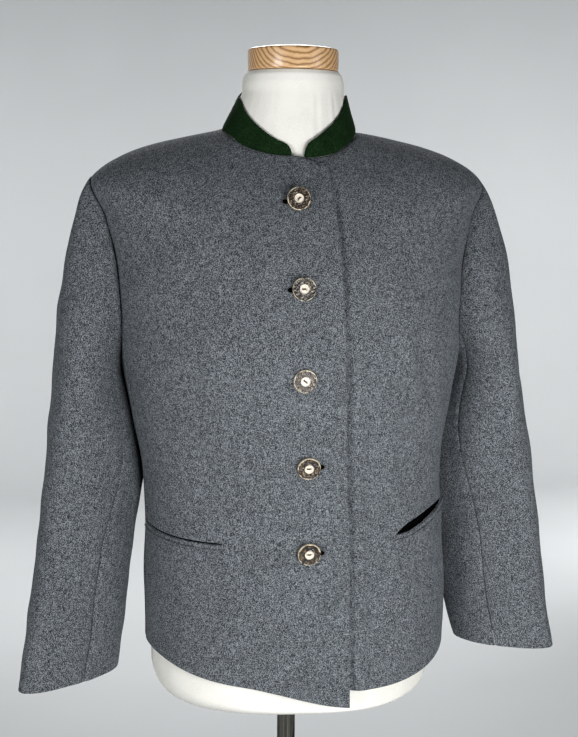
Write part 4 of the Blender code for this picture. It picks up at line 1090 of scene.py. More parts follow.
def sleeve_point(turn, travel, side):
    """Points of the sleeve: travel runs 0 to 1 over the cap and on, a level each, to the cuff."""
    angle, level = armhole_place(turn)
    step = 0.5
    normal = body_frame(side * angle, level)[2]
    along = unit(armhole_point(turn + step, side) - armhole_point(turn - step, side))
    start = armhole_point(turn, side) - side * np.cross(normal, along) * SLEEVE_TUCK + normal * CAP_RISE
    end = sleeve_ring_point(turn, np.zeros_like(turn), side)
    length = np.linalg.norm(end - start, axis=-1, keepdims=True)
    sine = np.sin(np.radians(turn))
    leave = length * np.stack((
        np.full_like(sine, side * CAP_START_SIDEWAYS), -CAP_START_FORWARD * sine,
        np.full_like(sine, -CAP_START_DOWN)), axis=-1)
    arrive = length * np.array((side * CAP_END_SIDEWAYS, 0.0, -1.0))
    cap = eased(np.clip(travel, 0.0, 1.0)[..., None], start, leave, end, arrive)
    cap = moved(cap, normal, np.minimum(travel, 0.0))
    tube = sleeve_ring_point(turn, np.maximum(travel - 1.0, 0.0), side)
    return np.where((travel >= 1.0)[..., None], tube, cap)


def front_seam_shift(seam_turn, travel):
    """How far a seam's turn has moved at a travel: only the front seam leans outward."""
    if seam_turn != SLEEVE_SEAM_TURN:
        return 0.0
    return FRONT_SEAM_SHIFT * float(smooth_step(travel, SHIFT_START, SHIFT_END))


def add_sleeve_piece(node, side, first_turn, last_turn, middle_columns, material):
    """The upper or the under piece of a sleeve, between its two long seams."""
    cuff = float(len(SLEEVE_LEVELS))
    cap_rows = np.linspace(0.0, 1.0, CAP_ROWS)
    tube_rows = np.linspace(1.0, cuff - EDGE_STOPS[-1] / CUFF_LEVEL_HEIGHT, TUBE_ROWS)[1:]
    cuff_rows = cuff - EDGE_STOPS[-2::-1] / CUFF_LEVEL_HEIGHT
    travels = np.concatenate(((-CAP_TURN_IN,), cap_rows, tube_rows, cuff_rows))
    rows = []
    for travel in np.maximum(travels, 0.0):
        first = first_turn - front_seam_shift(first_turn, travel)
        last = last_turn - front_seam_shift(last_turn, travel)
        middle = (first + last) / 2.0 + np.array((-0.5, 0.5))
        ends = sleeve_point(middle, np.full(2, travel), side)
        shift = 0.5 * SEAM_GAP / float(np.linalg.norm(ends[1] - ends[0]))
        rows.append(spread_along(lambda fine: sleeve_point(fine, np.full_like(fine, travel), side),
                                 first + shift, last - shift, TURN_SAMPLES, middle_columns))
    turn = np.array(rows)
    travel = np.repeat(travels[:, None], turn.shape[1], axis=1)
    reach = np.maximum(travel, 0.0)
    plain = sleeve_point(turn, travel, side)
    outward = plain - (sleeve_point(turn, reach, side) + sleeve_point(turn + 180.0, reach, side)) / 2.0
    way = grid_normals(plain, outward)
    rise = swells(plain, "sleeve", side) + folds(plain, way, FOLDS[node])
    points = moved(plain, way, rise * smooth_step(travel, 0.0, CAP_SMOOTH))
    return shell(node + "_cloth", points, outward, ("start", "stop", "bottom"), material)


# ---- collar


def form_neck_point(angle, row):
    """Points of one of the rings of the form's neck."""
    z, half_width, half_depth, y = row
    turn = np.radians(angle)
    return np.stack((FORM_MID_X + half_width * np.sin(turn),
                     y - half_depth * np.cos(turn), np.full_like(turn, z)), axis=-1)


def away_from_neck(angle):
    """Level directions away from the neck at its seam."""
    round_it = body_frame(angle, np.full_like(angle, NECK))[0]
    return unit(np.cross(round_it, UP))


def add_collar(name, material):
    """The stand collar, from its left end round the back to its right end."""
    first = float(angle_at_x(COLLAR_END_LEFT_X, NECK))
    last = 360.0 + float(angle_at_x(COLLAR_END_RIGHT_X, NECK))
    radius = BODY_TABLE["half_width"][NECK]
    angle = first + (last - first) * with_edge_stops(radius * math.radians(last - first), COLLAR_COLUMNS)
    neck = np.full_like(angle, NECK)
    to_end = radius * np.radians(np.minimum(angle - first, last - angle))
    folded = (angle + 180.0) % 360.0 - 180.0
    full = np.interp(folded, *zip(*COLLAR_HEIGHTS))
    window = 2 * COLLAR_SMOOTHING + 1
    full = np.convolve(np.pad(full, COLLAR_SMOOTHING, mode="edge"), np.ones(window) / window, mode="valid")
    share = 1.0 - np.minimum(to_end / COLLAR_CORNER, 1.0)
    height = COLLAR_END_HEIGHT + (full - COLLAR_END_HEIGHT) * np.sqrt(1.0 - share * share)
    round_it, up_it, _ = body_frame(angle, neck)
    on_edge = body_point(angle, neck)
    away = away_from_neck(angle)
    draw_in = np.sum((on_edge - form_neck_point(angle, FORM_NECK[0])) * away, axis=-1) - FELT - FORM_GAP
    climb = np.maximum(FORM_NECK[0][0] - on_edge[:, 2], full)
    rise = unit(UP * climb[:, None] - away * draw_in[:, None])
    face = unit(np.cross(round_it, rise))
    foot = on_edge - up_it * SEAM_TUCK
    rows = with_edge_stops(COLLAR_ROWS_HEIGHT, COLLAR_ROWS)
    points = foot[None] + rise[None] * height[None, :, None] * rows[:, None, None]
    swell = unevenness(points, *COLLAR_SWELL) * smooth_step(rows, 0.0, 0.5)[:, None]
    points = moved(points, face[None], swell)
    return shell(name, points, np.broadcast_to(face[None], points.shape), ("bottom",), material, FELT)


# ---- small things on the fronts


def on_front(side, x, z):
    """Outer points and ways out of a front, near the centre, at x and heights."""
    level = np.interp(z, BODY_TABLE["z_front"], range(len(BODY_LEVELS)))
    for _ in range(6):
        angle = angle_at_x(x, level)
        point, normal = lifted(side, angle, level)
        level = level + (z - point[..., 2]) / metres_per_level(angle, level)
    return point, normal


def front_surface(side, angle, level):
    """Outer surface and way out of a finished front, away from its slit and seams."""
    plain, way = lifted(side, angle, level)
    rise = lip_rise(side, angle, level) + swells(plain, "front", side) * swell_room(plain)
    return moved(plain, way, rise), way


def below_slit(side, angle, down, lift):
    """Points and ways out at angles and distances down from a slit's lower edge, above the cloth."""
    pocket = POCKETS[side]
    line = slit_level(pocket, angle)
    edge = pocket["gap"] / 2.0 * pocket_profile(pocket, angle) + WELT_BELOW_SLIT
    points, way = front_surface(side, angle, line - (down + edge) / metres_per_level(angle, line))
    return points + way * lift, way


def add_welt(name, side, material):
    """The welt of a pocket, lying on its front just below the slit."""
    pocket = POCKETS[side]
    length = pocket["end"] - pocket["start"] - 2.0 * WELT_END_IN
    angle = side * (pocket["start"] + WELT_END_IN + length * with_edge_stops(WELT_LENGTH, WELT_COLUMNS))
    down = with_edge_stops(WELT_HEIGHT, WELT_ROWS)[::-1, None] * WELT_HEIGHT
    furrow = WELT_FURROW * bell(WELT_HEIGHT - WELT_STITCH_IN - down, WELT_FURROW_WIDTH)
    angle = np.repeat(angle[None], len(down), axis=0)
    points, way = below_slit(side, angle, down, (WELT_THICKNESS + WELT_LIFT - furrow)[..., None])
    return shell(name, points, way, (), material, WELT_THICKNESS)


def stitch(solid, start, end, way, radius, bow):
    """One stitch of thread: a short bowed strand that sinks into the cloth at both ends."""
    along = end - start
    across = unit(np.cross(along, way))
    rings = []
    for step in range(STITCH_RINGS + 1):
        share = step / STITCH_RINGS
        height = bow * (1.0 - (2.0 * share - 1.0) ** 2) - radius * STITCH_SINK
        middle = start + along * share + way * height
        taper = math.sin(math.pi * min(max(share, STITCH_TAPER[0]), STITCH_TAPER[1]))
        thin = radius * (STITCH_THIN + (1.0 - STITCH_THIN) * taper)
        turns = [2.0 * math.pi * side / STITCH_SIDES for side in range(STITCH_SIDES)]
        rings.append([solid.verts.new(middle + across * math.cos(turn) * thin + way * math.sin(turn) * thin)
                      for turn in turns])
    join_rings(solid, rings)
    solid.faces.new(rings[0])
    solid.faces.new(rings[-1])


def add_edge_stitching(name, material):
    """A row of stitches down the closure, a little inside the upper front's edge."""
    solid = bmesh.new()
    levels = np.linspace(*STITCHING_LEVELS, 1400)
    points, ways = front_surface(-1, angle_at_x(upper_edge_x(levels) - EDGE_STITCH_IN, levels), levels)
    points = points - ways * EDGE_STITCH_SUNK
    reached = reached_along(points)
    for place in np.arange(STITCHING_ENDS[0], reached[-1] - STITCHING_ENDS[1], STITCH_PITCH):
        ends = ((place, points), (place + STITCH_LENGTH, points), (place, ways))
        start, end, way = (np.array([np.interp(at, reached, values[:, axis]) for axis in range(3)])
                           for at, values in ends)
        stitch(solid, start, end, way, *EDGE_THREAD)
    return object_of(name, solid, material)


def add_welt_stitching(name, side, material):
    """Stitches along a welt's lower edge and up across both of its ends."""
    solid = bmesh.new()

    def sew(from_angle, from_down, to_angle, to_down, thread):
        ends = [below_slit(side, np.array((side * angle,)), down, WELT_THICKNESS - WELT_STITCH_SUNK)
                for angle, down in ((from_angle, from_down), (to_angle, to_down))]
        stitch(solid, ends[0][0][0], ends[1][0][0], ends[0][1][0], *thread)

    first = POCKETS[side]["start"] + WELT_END_STITCH_PLACES[0]
    last = POCKETS[side]["end"] - WELT_END_STITCH_PLACES[1]
    low = WELT_HEIGHT - WELT_STITCH_IN
    for step in range(WELT_STITCHES):
        angle = first + (last - first) * step / WELT_STITCHES
        sew(angle, low, angle + (last - first) / WELT_STITCHES * WELT_STITCH_SHARE, low, WELT_THREAD)
    for angle in (first, last):
        for step in range(WELT_END_STITCHES):
            down = WELT_END_STITCH_START + step * WELT_END_STITCH_PITCH
            sew(angle, down, angle, down + WELT_END_STITCH_LENGTH, WELT_END_THREAD)
    return object_of(name, solid, material)


def seat_of_button(x, z, face_down):
    """Middle of a button's underside and the matrix that turns it as it hangs."""
    point, normal = (values[0] for values in on_front(-1, np.array((x,)), np.array((z,))))
    down = math.radians(face_down)
    forward = unit(np.array((normal[0], normal[1], 0.0)))
    face = forward * math.cos(down) - UP * math.sin(down)
    tilt = math.acos(min(1.0, float(np.dot(face, normal))))
    lift = BUTTON_SEAT + BUTTON_THICKNESS / 2.0 + BUTTON_RADIUS * math.sin(tilt)
    turn = Vector(face).to_track_quat("Z", "Y").to_matrix().to_4x4()
    return Matrix.Translation(Vector(point + normal * lift)) @ turn


def add_button(name, number, x, z, face_down, material, thread):
    """A slice of stag horn: mottled bark round a sunken disc with two sewn holes."""
    draw = np.random.default_rng(BUTTON_SEED + number)
    half = BUTTON_THICKNESS / 2.0
    turns = np.linspace(0.0, 2.0 * math.pi, BUTTON_SIDES, endpoint=False)
    heights = half - np.interp(BUTTON_RINGS, *zip(*BUTTON_TOP))
    section = list(zip(BUTTON_RINGS, heights)) + [(radius, rise - half) for radius, rise in BUTTON_UNDERSIDE]
    waves = [draw.uniform(-BUTTON_WAVE, BUTTON_WAVE) * np.cos(wave * turns + draw.uniform(0.0, 6.28))
             for wave in BUTTON_WAVES]
    outline = np.minimum(1.0 + sum(waves), 1.0)
    points = []
    for radius, height in section:
        out = radius * (1.0 + (outline - 1.0) * smooth_step(radius, BUTTON_ROUND_WITHIN, BUTTON_RADIUS))
        ring = (out * np.cos(turns), out * np.sin(turns), np.full(BUTTON_SIDES, height))
        points.append(np.stack(ring, axis=-1))
    points = np.array(points)
    top = points[:len(BUTTON_RINGS)]
    bark = between(np.linalg.norm(top[..., :2], axis=-1), BARK_START, BARK_END)
    relief = np.zeros(top.shape[:2])
    for _ in range(BARK_WAVES):
        way = unit(draw.normal(size=2))
        length = draw.uniform(*BARK_WAVE_LENGTHS)
        relief += np.sin(top[..., :2] @ way * 2.0 * math.pi / length + draw.uniform(0.0, 6.28))
    top[..., 2] -= bark * (BARK_DEPTH + BARK_RELIEF * np.clip(relief, -BARK_HIGHEST, BARK_HIGHEST))
    turn = math.radians(BUTTON_THREADS[number - 1])
    along = np.array((math.cos(turn), math.sin(turn), 0.0))
    across = np.array((-along[1], along[0], 0.0))
    holes = [sign * HOLE_FROM_MIDDLE * along for sign in (1, -1)]
    for hole in holes:
        away = np.linalg.norm(top[..., :2] - hole[:2], axis=-1)
        top[..., 2] -= HOLE_SINK * (1.0 - smooth_step(away, *HOLE_EDGE))
    solid = bmesh.new()
    rings = [[solid.verts.new(point) for point in ring] for ring in points]
    join_rings(solid, rings)
    solid.faces.new(rings[0])
    solid.faces.new(rings[-1])
    button = object_of(name, solid, material)
    button.matrix_world = seat_of_button(x, z, face_down)

    strands = bmesh.new()
    for offset in STRANDS:
        start, end = (hole + across * offset + UP * (half - STRAND_BELOW_TOP) for hole in holes)
        stitch(strands, start, end, UP, STRAND_RADIUS, STRAND_BOW)
    bmesh.ops.create_cone(strands, cap_ends=True, segments=20, radius1=SHANK_RADII[0], radius2=SHANK_RADII[1],
                          depth=SHANK_LENGTH, matrix=Matrix.Translation((0.0, 0.0, -half - SHANK_BELOW)))
    sewing = object_of(name + "_thread", strands, thread)
    sewing.matrix_world = button.matrix_world
    return button, sewing


def add_buttonhole(name, x, z, reach, thread, dark):
    """A worked buttonhole: a slot painted near black as shade, with a round eye, in a rim of wound thread."""
    side = math.copysign(1.0, reach)
    length = abs(reach) + BUTTONHOLE_START
    turns = 2.0 * math.pi * np.arange(BUTTONHOLE_POINTS) / BUTTONHOLE_POINTS
    along = np.cos(turns) * length / 2.0 + SLOT_SHIFT
    wide = np.sin(turns) * (SLOT_HALF_WIDTH + EYE_EXTRA * smooth_step(np.cos(turns), *EYE_FROM))
    centre_x = x + side * (length / 2.0 - BUTTONHOLE_START)
    points, ways = on_front(-1, centre_x + side * along, z + wide)
    tangent = unit(np.roll(points, -1, axis=0) - np.roll(points, 1, axis=0))
    outward = unit(np.cross(tangent, ways)) * side
    solid = bmesh.new()
    loops = []
    for step, (point, way, out) in enumerate(zip(points, ways, outward)):
        radius = RIM_RADIUS * (1.0 + RIM_BEAD * math.cos(step * math.pi))
        round_rim = [2.0 * math.pi * turn / RIM_SIDES for turn in range(RIM_SIDES)]
        middle = point + out * RIM_OUTSIDE
        loops.append([solid.verts.new(middle + out * math.cos(turn) * radius * RIM_WIDE
                                      + way * math.sin(turn) * radius) for turn in round_rim])
    join_rings(solid, loops + loops[:1])
    rim = object_of(name, solid, thread)
    # The slot is a near-black sheet of painted shade lying in the buttonhole's opening
    slot = bmesh.new()
    skins = []
    for lift in SLOT_SKINS:
        skins.append([slot.verts.new(point + way * lift) for point, way in zip(points, ways)])
        middle = points.mean(axis=0) + ways.mean(axis=0) * (lift + SLOT_MIDDLE_RISE)
        close_ring(slot, skins[-1], slot.verts.new(middle))
    join_rings(slot, skins)
    return rim, object_of(name + "_slot", slot, dark)


# ---- dress form and stand


def add_form(name, material):
    """The limbless form in its jersey: foot, torso, throat with fine gathers and neck."""
    angle = np.linspace(0.0, 360.0, FORM_SIDES, endpoint=False)
    rings = []
    for level in np.linspace(FORM_FIRST_LEVEL, NECK, FORM_ROWS):
        row = np.full_like(angle, level)
        below_arms = 1.0 - smooth_step(level, UNDERARM - 1, UNDERARM + 1)
        ring = body_point(angle, row) - body_frame(angle, row)[2] * body_value("form_inset", level)
        rings.append(ring + LEFTWARD * (FORM_MID_X - body_value("x_mid", level)) * below_arms)
    foot = []
    for step in range(FORM_FOOT_ROWS):
        turn = math.radians(90.0 * step / FORM_FOOT_ROWS)
        draw_in = FORM_FOOT_ROUND * (1.0 - math.sin(turn))
        rise = FORM_FOOT_ROUND * (1.0 - math.cos(turn))
        flat = rings[0] * LEVEL_PART
        reach = np.linalg.norm(flat, axis=1, keepdims=True)
        height = FORM_FOOT_Z + rise * (rings[0][:, 2:] - FORM_FOOT_Z) / FORM_FOOT_ROUND
        foot.append(flat * (1.0 - draw_in / reach) + UP * height)
    seat = rings[-1] - away_from_neck(angle) * (FELT + FORM_GAP)
    top = form_neck_point(angle, FORM_NECK[0])
    throat = [seat + (top - seat) * step / THROAT_ROWS for step in range(1, THROAT_ROWS + 1)]
    upper = [form_neck_point(angle, [float(np.interp(step, range(4), values)) for values in zip(*FORM_NECK)])
             for step in np.linspace(0.0, 3.0, 13)[1:]]
    points = np.array(foot + rings + throat + upper)
    way = unit((points - points.mean(axis=1, keepdims=True)) * LEVEL_PART)
    turn = (angle + 180.0) % 360.0 - 180.0
    waves = sum(height * np.sin(np.radians(turn) * count + start) for height, count, start in GATHER_WAVES)
    gathers = waves * (GATHERS_WEAK_SHARE + between(turn, *GATHERS_STRONG))
    high = between(points[..., 2], GATHERS_COME_Z, GATHERS_GO_Z)
    solid = bmesh.new()
    corners = [[solid.verts.new(point) for point in ring]
               for ring in moved(points, way, GATHER_DEPTH * gathers[None] * high)]
    join_rings(solid, corners)
    solid.faces.new(corners[0])
    solid.faces.new(corners[-1])
    return object_of(name, solid, material)


def add_turned(name, profile, centre, material):
    """A turned solid from a profile of radius and height, from the axis on top to the axis below."""
    solid = bmesh.new()
    turns = [2.0 * math.pi * side / TURNED_SIDES for side in range(TURNED_SIDES)]
    x, y = centre
    rings = [[solid.verts.new((x + radius * math.cos(turn), y + radius * math.sin(turn), height))
              for turn in turns] for radius, height in profile[1:-1]]
    join_rings(solid, rings)
    for ring, (_, height) in ((rings[0], profile[0]), (rings[-1], profile[-1])):
        close_ring(solid, ring, solid.verts.new((x, y, height)))
    return object_of(name, solid, material)


def rounded_corner(radius, height, size, upper):
    """Points of a profile round an outer corner, from above to below."""
    points = []
    for step in range(CORNER_STEPS + 1):
        turn = math.radians(90.0 / CORNER_STEPS * step)
        if upper:
            points.append((radius - size + size * math.sin(turn), height - size + size * math.cos(turn)))
        else:
            points.append((radius - size + size * math.cos(turn), height + size - size * math.sin(turn)))
    return points


# ---- materials


class Nodes:
    """Short ways to build a procedural material."""

    def __init__(self, name):
        self.material = bpy.data.materials.new(name)
        self.material.use_nodes = True
        self.tree = self.material.node_tree
        self.shader = self.tree.nodes["Principled BSDF"]
        self.place = self.add("ShaderNodeTexCoord").outputs["Object"]

    def add(self, kind, **values):
        """A node with these properties set."""
        node = self.tree.nodes.new(kind)
        for key, value in values.items():
            setattr(node, key, value)
        return node

    def feed(self, socket, value):
        """Joins or sets an input."""
        if isinstance(value, bpy.types.NodeSocket):
            self.tree.links.new(value, socket)
        else:
            socket.default_value = value

    def set(self, node, **values):
        """Sets inputs of a node, with _ for a space in their names."""
        for key, value in values.items():
            node.inputs[key.replace("_", " ")].default_value = value

    def scaled(self, scale, offset=NO_SHIFT):
        """The place on the object, scaled in each direction."""
        node = self.add("ShaderNodeMapping")
        self.feed(node.inputs["Vector"], self.place)
        self.set(node, Scale=scale, Location=offset)
        return node.outputs["Vector"]

    def noise(self, scale, detail=2.0, roughness=0.5, stretch=None, offset=NO_SHIFT, distortion=0.0):
        """A noise between 0 and 1 with features about 1/scale metres wide."""
        node = self.add("ShaderNodeTexNoise")
        self.feed(node.inputs["Vector"], self.scaled(stretch, offset) if stretch else self.place)
        self.set(node, Scale=scale, Detail=detail, Roughness=roughness, Distortion=distortion)
        return node.outputs["Fac"]

    def wave(self, kind, stretch, offset, **values):
        """A wave texture of rings or bands across X, with these inputs set."""
        node = self.add("ShaderNodeTexWave", wave_type=kind)
        self.feed(node.inputs["Vector"], self.scaled(stretch, offset))
        self.set(node, **values)
        return node.outputs["Fac"]

    def axes(self):
        """The three coordinates of the place on the object."""
        node = self.add("ShaderNodeSeparateXYZ")
        self.feed(node.inputs["Vector"], self.place)
        return node.outputs

    def remap(self, value, start, end, low, high):
        """A value moved from one range to another, held at its ends."""
        node = self.add("ShaderNodeMapRange")
        self.feed(node.inputs["Value"], value)
        self.set(node, From_Min=start, From_Max=end, To_Min=low, To_Max=high)
        return node.outputs["Result"]

    def math(self, operation, first, second=0.0):
        """A sum of two values."""
        node = self.add("ShaderNodeMath", operation=operation)
        self.feed(node.inputs[0], first)
        self.feed(node.inputs[1], second)
        return node.outputs["Value"]

    def total(self, *parts):
        """Values added up, each times its share."""
        values = [self.math("MULTIPLY", value, share) for value, share in parts]
        total = values[0]
        for value in values[1:]:
            total = self.math("ADD", total, value)
        return total

    def ramp(self, value, *stops):
        """Colours along a value, given as positions and colours."""
        node = self.add("ShaderNodeValToRGB")
        self.feed(node.inputs["Fac"], value)
        elements = node.color_ramp.elements
        while len(elements) < len(stops):
            elements.new(1.0)
        for element, (position, colour) in zip(elements, stops):
            element.position = position
            element.color = (*colour, 1.0)
        return node.outputs["Color"]

    def mix(self, share, first, second, blend="MIX"):
        """Two colours mixed."""
        node = self.add("ShaderNodeMix", data_type="RGBA", blend_type=blend)
        self.feed(node.inputs["Factor"], share)
        for socket, value in ((node.inputs[6], first), (node.inputs[7], second)):
            self.feed(socket, value if isinstance(value, bpy.types.NodeSocket) else (*value, 1.0))
        return node.outputs[2]

    def shaded(self, colour, tone):
        """A colour made darker by a tone between 0 and 1."""
        return self.mix(1.0, colour, self.ramp(tone, (0.0, BLACK), (1.0, WHITE)), "MULTIPLY")

    def bump(self, height, distance, strength=1.0, under=None):
        """A bump from a height, over another bump if there is one."""
        node = self.add("ShaderNodeBump")
        self.feed(node.inputs["Height"], height)
        self.set(node, Distance=distance, Strength=strength)
        if under is not None:
            self.feed(node.inputs["Normal"], under)
        return node.outputs["Normal"]

    def finish(self, colour, roughness, normal=None, **sockets):
        """Feeds the shader and hands back the material."""
        self.feed(self.shader.inputs["Base Color"], colour)
        self.feed(self.shader.inputs["Roughness"], roughness)
        if normal is not None:
            self.feed(self.shader.inputs["Normal"], normal)
        self.set(self.shader, **sockets)
        return self.material


def loden_material(name):
    """Dense milled wool in mottled blue-grey, with a short raised nap."""
    nodes = Nodes(name)
    grains = nodes.noise(1120.0, 1.0)
    flecks = nodes.noise(1500.0, 1.0, 0.5, (1.0, 1.0, 0.8), (3.1, 0.7, 1.9))
    clumps = nodes.noise(210.0, 2.0, 0.5, EVEN, (1.3, 9.1, 4.2))
    mottle = nodes.total((grains, 0.58), (flecks, 0.30), (clumps, 0.12))
    grey = nodes.ramp(mottle, (0.43, LODEN_DARK), (0.48, LODEN_DEEP), (0.52, LODEN_MIDDLE),
                      (0.57, LODEN_LIGHT))
    patches = nodes.noise(24.0, 3.0, 0.55, EVEN, (7.0, 2.0, 5.0))
    colour = nodes.shaded(grey, nodes.remap(patches, 0.3, 0.7, 0.88, 1.0))
    lint = nodes.noise(800.0, 1.0, 0.5, (1.0, 1.0, 0.4), (2.2, 8.3, 0.4), 0.6)
    colour = nodes.mix(nodes.remap(lint, 0.66, 0.74, 0.0, 0.6), colour, LODEN_LINT)
    nap = nodes.bump(nodes.noise(560.0, 3.0, 0.6, (1.0, 1.0, 0.8)), 0.0009, 0.6)
    fuzz = nodes.bump(nodes.noise(1500.0, 2.0, 0.6), 0.0004, 0.5, nap)
    return nodes.finish(colour, 0.95, fuzz, Sheen_Weight=0.06, Sheen_Roughness=0.5,
                        Sheen_Tint=LODEN_SHEEN, Specular_IOR_Level=0.12)


def felt_material(name):
    """Dense dark green felt."""
    nodes = Nodes(name)
    grains = nodes.noise(620.0, 3.0, 0.6)
    patches = nodes.noise(60.0, 3.0, 0.5, EVEN, (4.0, 4.0, 4.0))
    mottle = nodes.total((grains, 0.75), (patches, 0.25))
    colour = nodes.ramp(mottle, (0.36, FELT_DARK), (0.5, FELT_MIDDLE), (0.64, FELT_LIGHT))
    nap = nodes.bump(nodes.noise(760.0, 4.0, 0.65), 0.0005, 0.5)
    return nodes.finish(colour, 0.95, nap, Sheen_Weight=0.02, Sheen_Roughness=0.5,
                        Sheen_Tint=FELT_SHEEN, Specular_IOR_Level=0.05)


def jersey_material(name):
    """Fine off-white cotton jersey stretched on the form."""
    nodes = Nodes(name)
    ribs = nodes.wave("BANDS", (1.0, 1.0, 0.12), NO_SHIFT, Scale=260.0, Distortion=1.2)
    knit = nodes.noise(900.0, 2.0, 0.5, (1.0, 1.0, 1.8))
    patches = nodes.noise(30.0, 2.0)
    colour = nodes.ramp(nodes.total((knit, 0.6), (patches, 0.4)), (0.30, JERSEY_DARK), (0.55, JERSEY_LIGHT))
    height = nodes.math("ADD", nodes.math("MULTIPLY", ribs, 0.4), knit)
    return nodes.finish(colour, 0.88, nodes.bump(height, 0.00025, 0.5), Sheen_Weight=0.08,
                        Specular_IOR_Level=0.25)


def horn_material(name, number):
    """Polished stag horn: dark mottled bark, a cream rim and an ivory disc in the middle."""
    nodes = Nodes(name)
    axes = nodes.axes()
    squares = [nodes.math("POWER", axes[key], 2.0) for key in ("X", "Y")]
    radius = nodes.math("SQRT", nodes.math("ADD", *squares))
    shift = (number * 0.137, number * 0.071, 0.0)
    wobble = nodes.remap(nodes.noise(260.0, 2.0, 0.5, EVEN, shift), 0.3, 0.7, -0.0007, 0.0007)
    streaks = nodes.noise(420.0, 4.0, 0.65, (1.0, 0.45, 1.0), (number * 0.31, 0.5, 0.0), 0.7)
    warm = nodes.noise(130.0, 2.0, 0.5, EVEN, (0.2, number * 0.43, 0.0))
    bark = nodes.ramp(streaks, (0.42, HORN_BLACK), (0.54, HORN_BROWN), (0.61, HORN_TAN), (0.68, HORN_PALE))
    warmth = BUTTON_WARMTH[number - 1]
    grey_bark = nodes.mix(1.0, bark, HORN_GREY_TINT, "MULTIPLY")
    bark = nodes.mix(nodes.remap(warm, 0.40, 0.62, warmth, 0.9 * warmth + 0.1), grey_bark, bark)
    ivory = nodes.ramp(nodes.noise(700.0, 2.0, 0.5, EVEN, shift), (0.35, IVORY_SHADE), (0.6, IVORY))
    rim = nodes.ramp(nodes.noise(500.0, 2.0, 0.5, EVEN, shift), (0.35, RIM_GOLD), (0.62, RIM_CREAM))
    colour = nodes.mix(nodes.remap(radius, 0.00475, 0.00505, 0.0, 1.0), ivory, bark)
    edge = nodes.remap(nodes.math("ADD", radius, wobble), 0.01155, 0.01180, 0.0, 1.0)
    colour = nodes.mix(edge, colour, rim)
    low = nodes.remap(axes["Z"], -0.0008, 0.0006, 1.0, 0.0)
    outside = nodes.remap(radius, 0.0112, 0.0116, 0.0, 0.75)
    colour = nodes.mix(nodes.math("MULTIPLY", low, outside), colour, HORN_BROWN)
    gloss = nodes.remap(streaks, 0.3, 0.7, 0.42, 0.24)
    surface = nodes.bump(streaks, 0.00012, 0.35)
    return nodes.finish(colour, gloss, surface, Coat_Weight=0.25, Coat_Roughness=0.18)


def thread_material(name, dark, light):
    """Twisted polyester thread."""
    nodes = Nodes(name)
    twist = nodes.noise(2600.0, 2.0, 0.5)
    colour = nodes.ramp(twist, (0.35, dark), (0.65, light))
    return nodes.finish(colour, 0.62, nodes.bump(twist, 0.0001, 0.4), Sheen_Weight=0.1)


def wood_material(name):
    """Turned beech under clear varnish, with its rings across the cap."""
    nodes = Nodes(name)
    rings = nodes.wave("RINGS", EVEN, (0.0, 0.11, -1.33), Scale=75.0, Distortion=3.5, Detail=3.0,
                       Detail_Scale=0.9)
    pores = nodes.noise(700.0, 3.0, 0.6, (0.06, 1.0, 1.0))
    colour = nodes.ramp(rings, (0.0, WOOD_LIGHT), (0.62, WOOD_MIDDLE), (1.0, WOOD_DARK))
    colour = nodes.mix(nodes.remap(pores, 0.55, 0.72, 0.0, 0.4), colour, WOOD_DARK)
    return nodes.finish(colour, nodes.remap(pores, 0.3, 0.7, 0.30, 0.42),
                        nodes.bump(pores, 0.0001, 0.25), Coat_Weight=0.35, Coat_Roughness=0.15)


def steel_material(name, streak_scale):
    """Satin steel with fine streaks."""
    nodes = Nodes(name)
    streaks = nodes.noise(1.0, 3.0, 0.6, streak_scale)
    smudge = nodes.noise(28.0, 3.0, 0.55)
    colour = nodes.ramp(streaks, (0.3, STEEL_DARK), (0.7, STEEL_LIGHT))
    rough = nodes.math("ADD", nodes.remap(streaks, 0.3, 0.7, 0.20, 0.32),
                       nodes.remap(smudge, 0.4, 0.7, 0.0, 0.10))
    return nodes.finish(colour, rough, nodes.bump(streaks, 0.00004, 0.3), Metallic=1.0)


def shadow_material(name):
    """Painted shade: a near-black colour for the inside of a slot in the cloth, where only shade falls."""
    nodes = Nodes(name)
    tone = nodes.noise(500.0)
    return nodes.finish(nodes.ramp(tone, (0.3, SLOT_SHADE_BLACK), (0.7, SLOT_SHADE_AND_THREAD_DARK)), 0.95, Specular_IOR_Level=0.0)


def paper_material(name):
    """Matt studio paper with painted shade that makes it a little darker high up on the wall, and a faint
    unevenness.
    """
    nodes = Nodes(name)
    colour = nodes.mix(nodes.remap(nodes.axes()["Z"], 0.75, 1.75, 0.0, 1.0), PAPER_LOW, PAPER_HIGH_SHADED)
    tone = nodes.remap(nodes.noise(3.0, 3.0), 0.3, 0.7, 0.97, 1.0)
    return nodes.finish(nodes.shaded(colour, tone), 0.95, Specular_IOR_Level=0.1)


# ---- the whole


def show(piece, node=None):
    """Makes a piece part of the object, in place of a node of the frame."""
    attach(piece, "root")
    if node:
        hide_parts(node)
    return piece


def cut(piece, node):
    """Makes a cloth piece stand for its node."""
    show(piece, node)


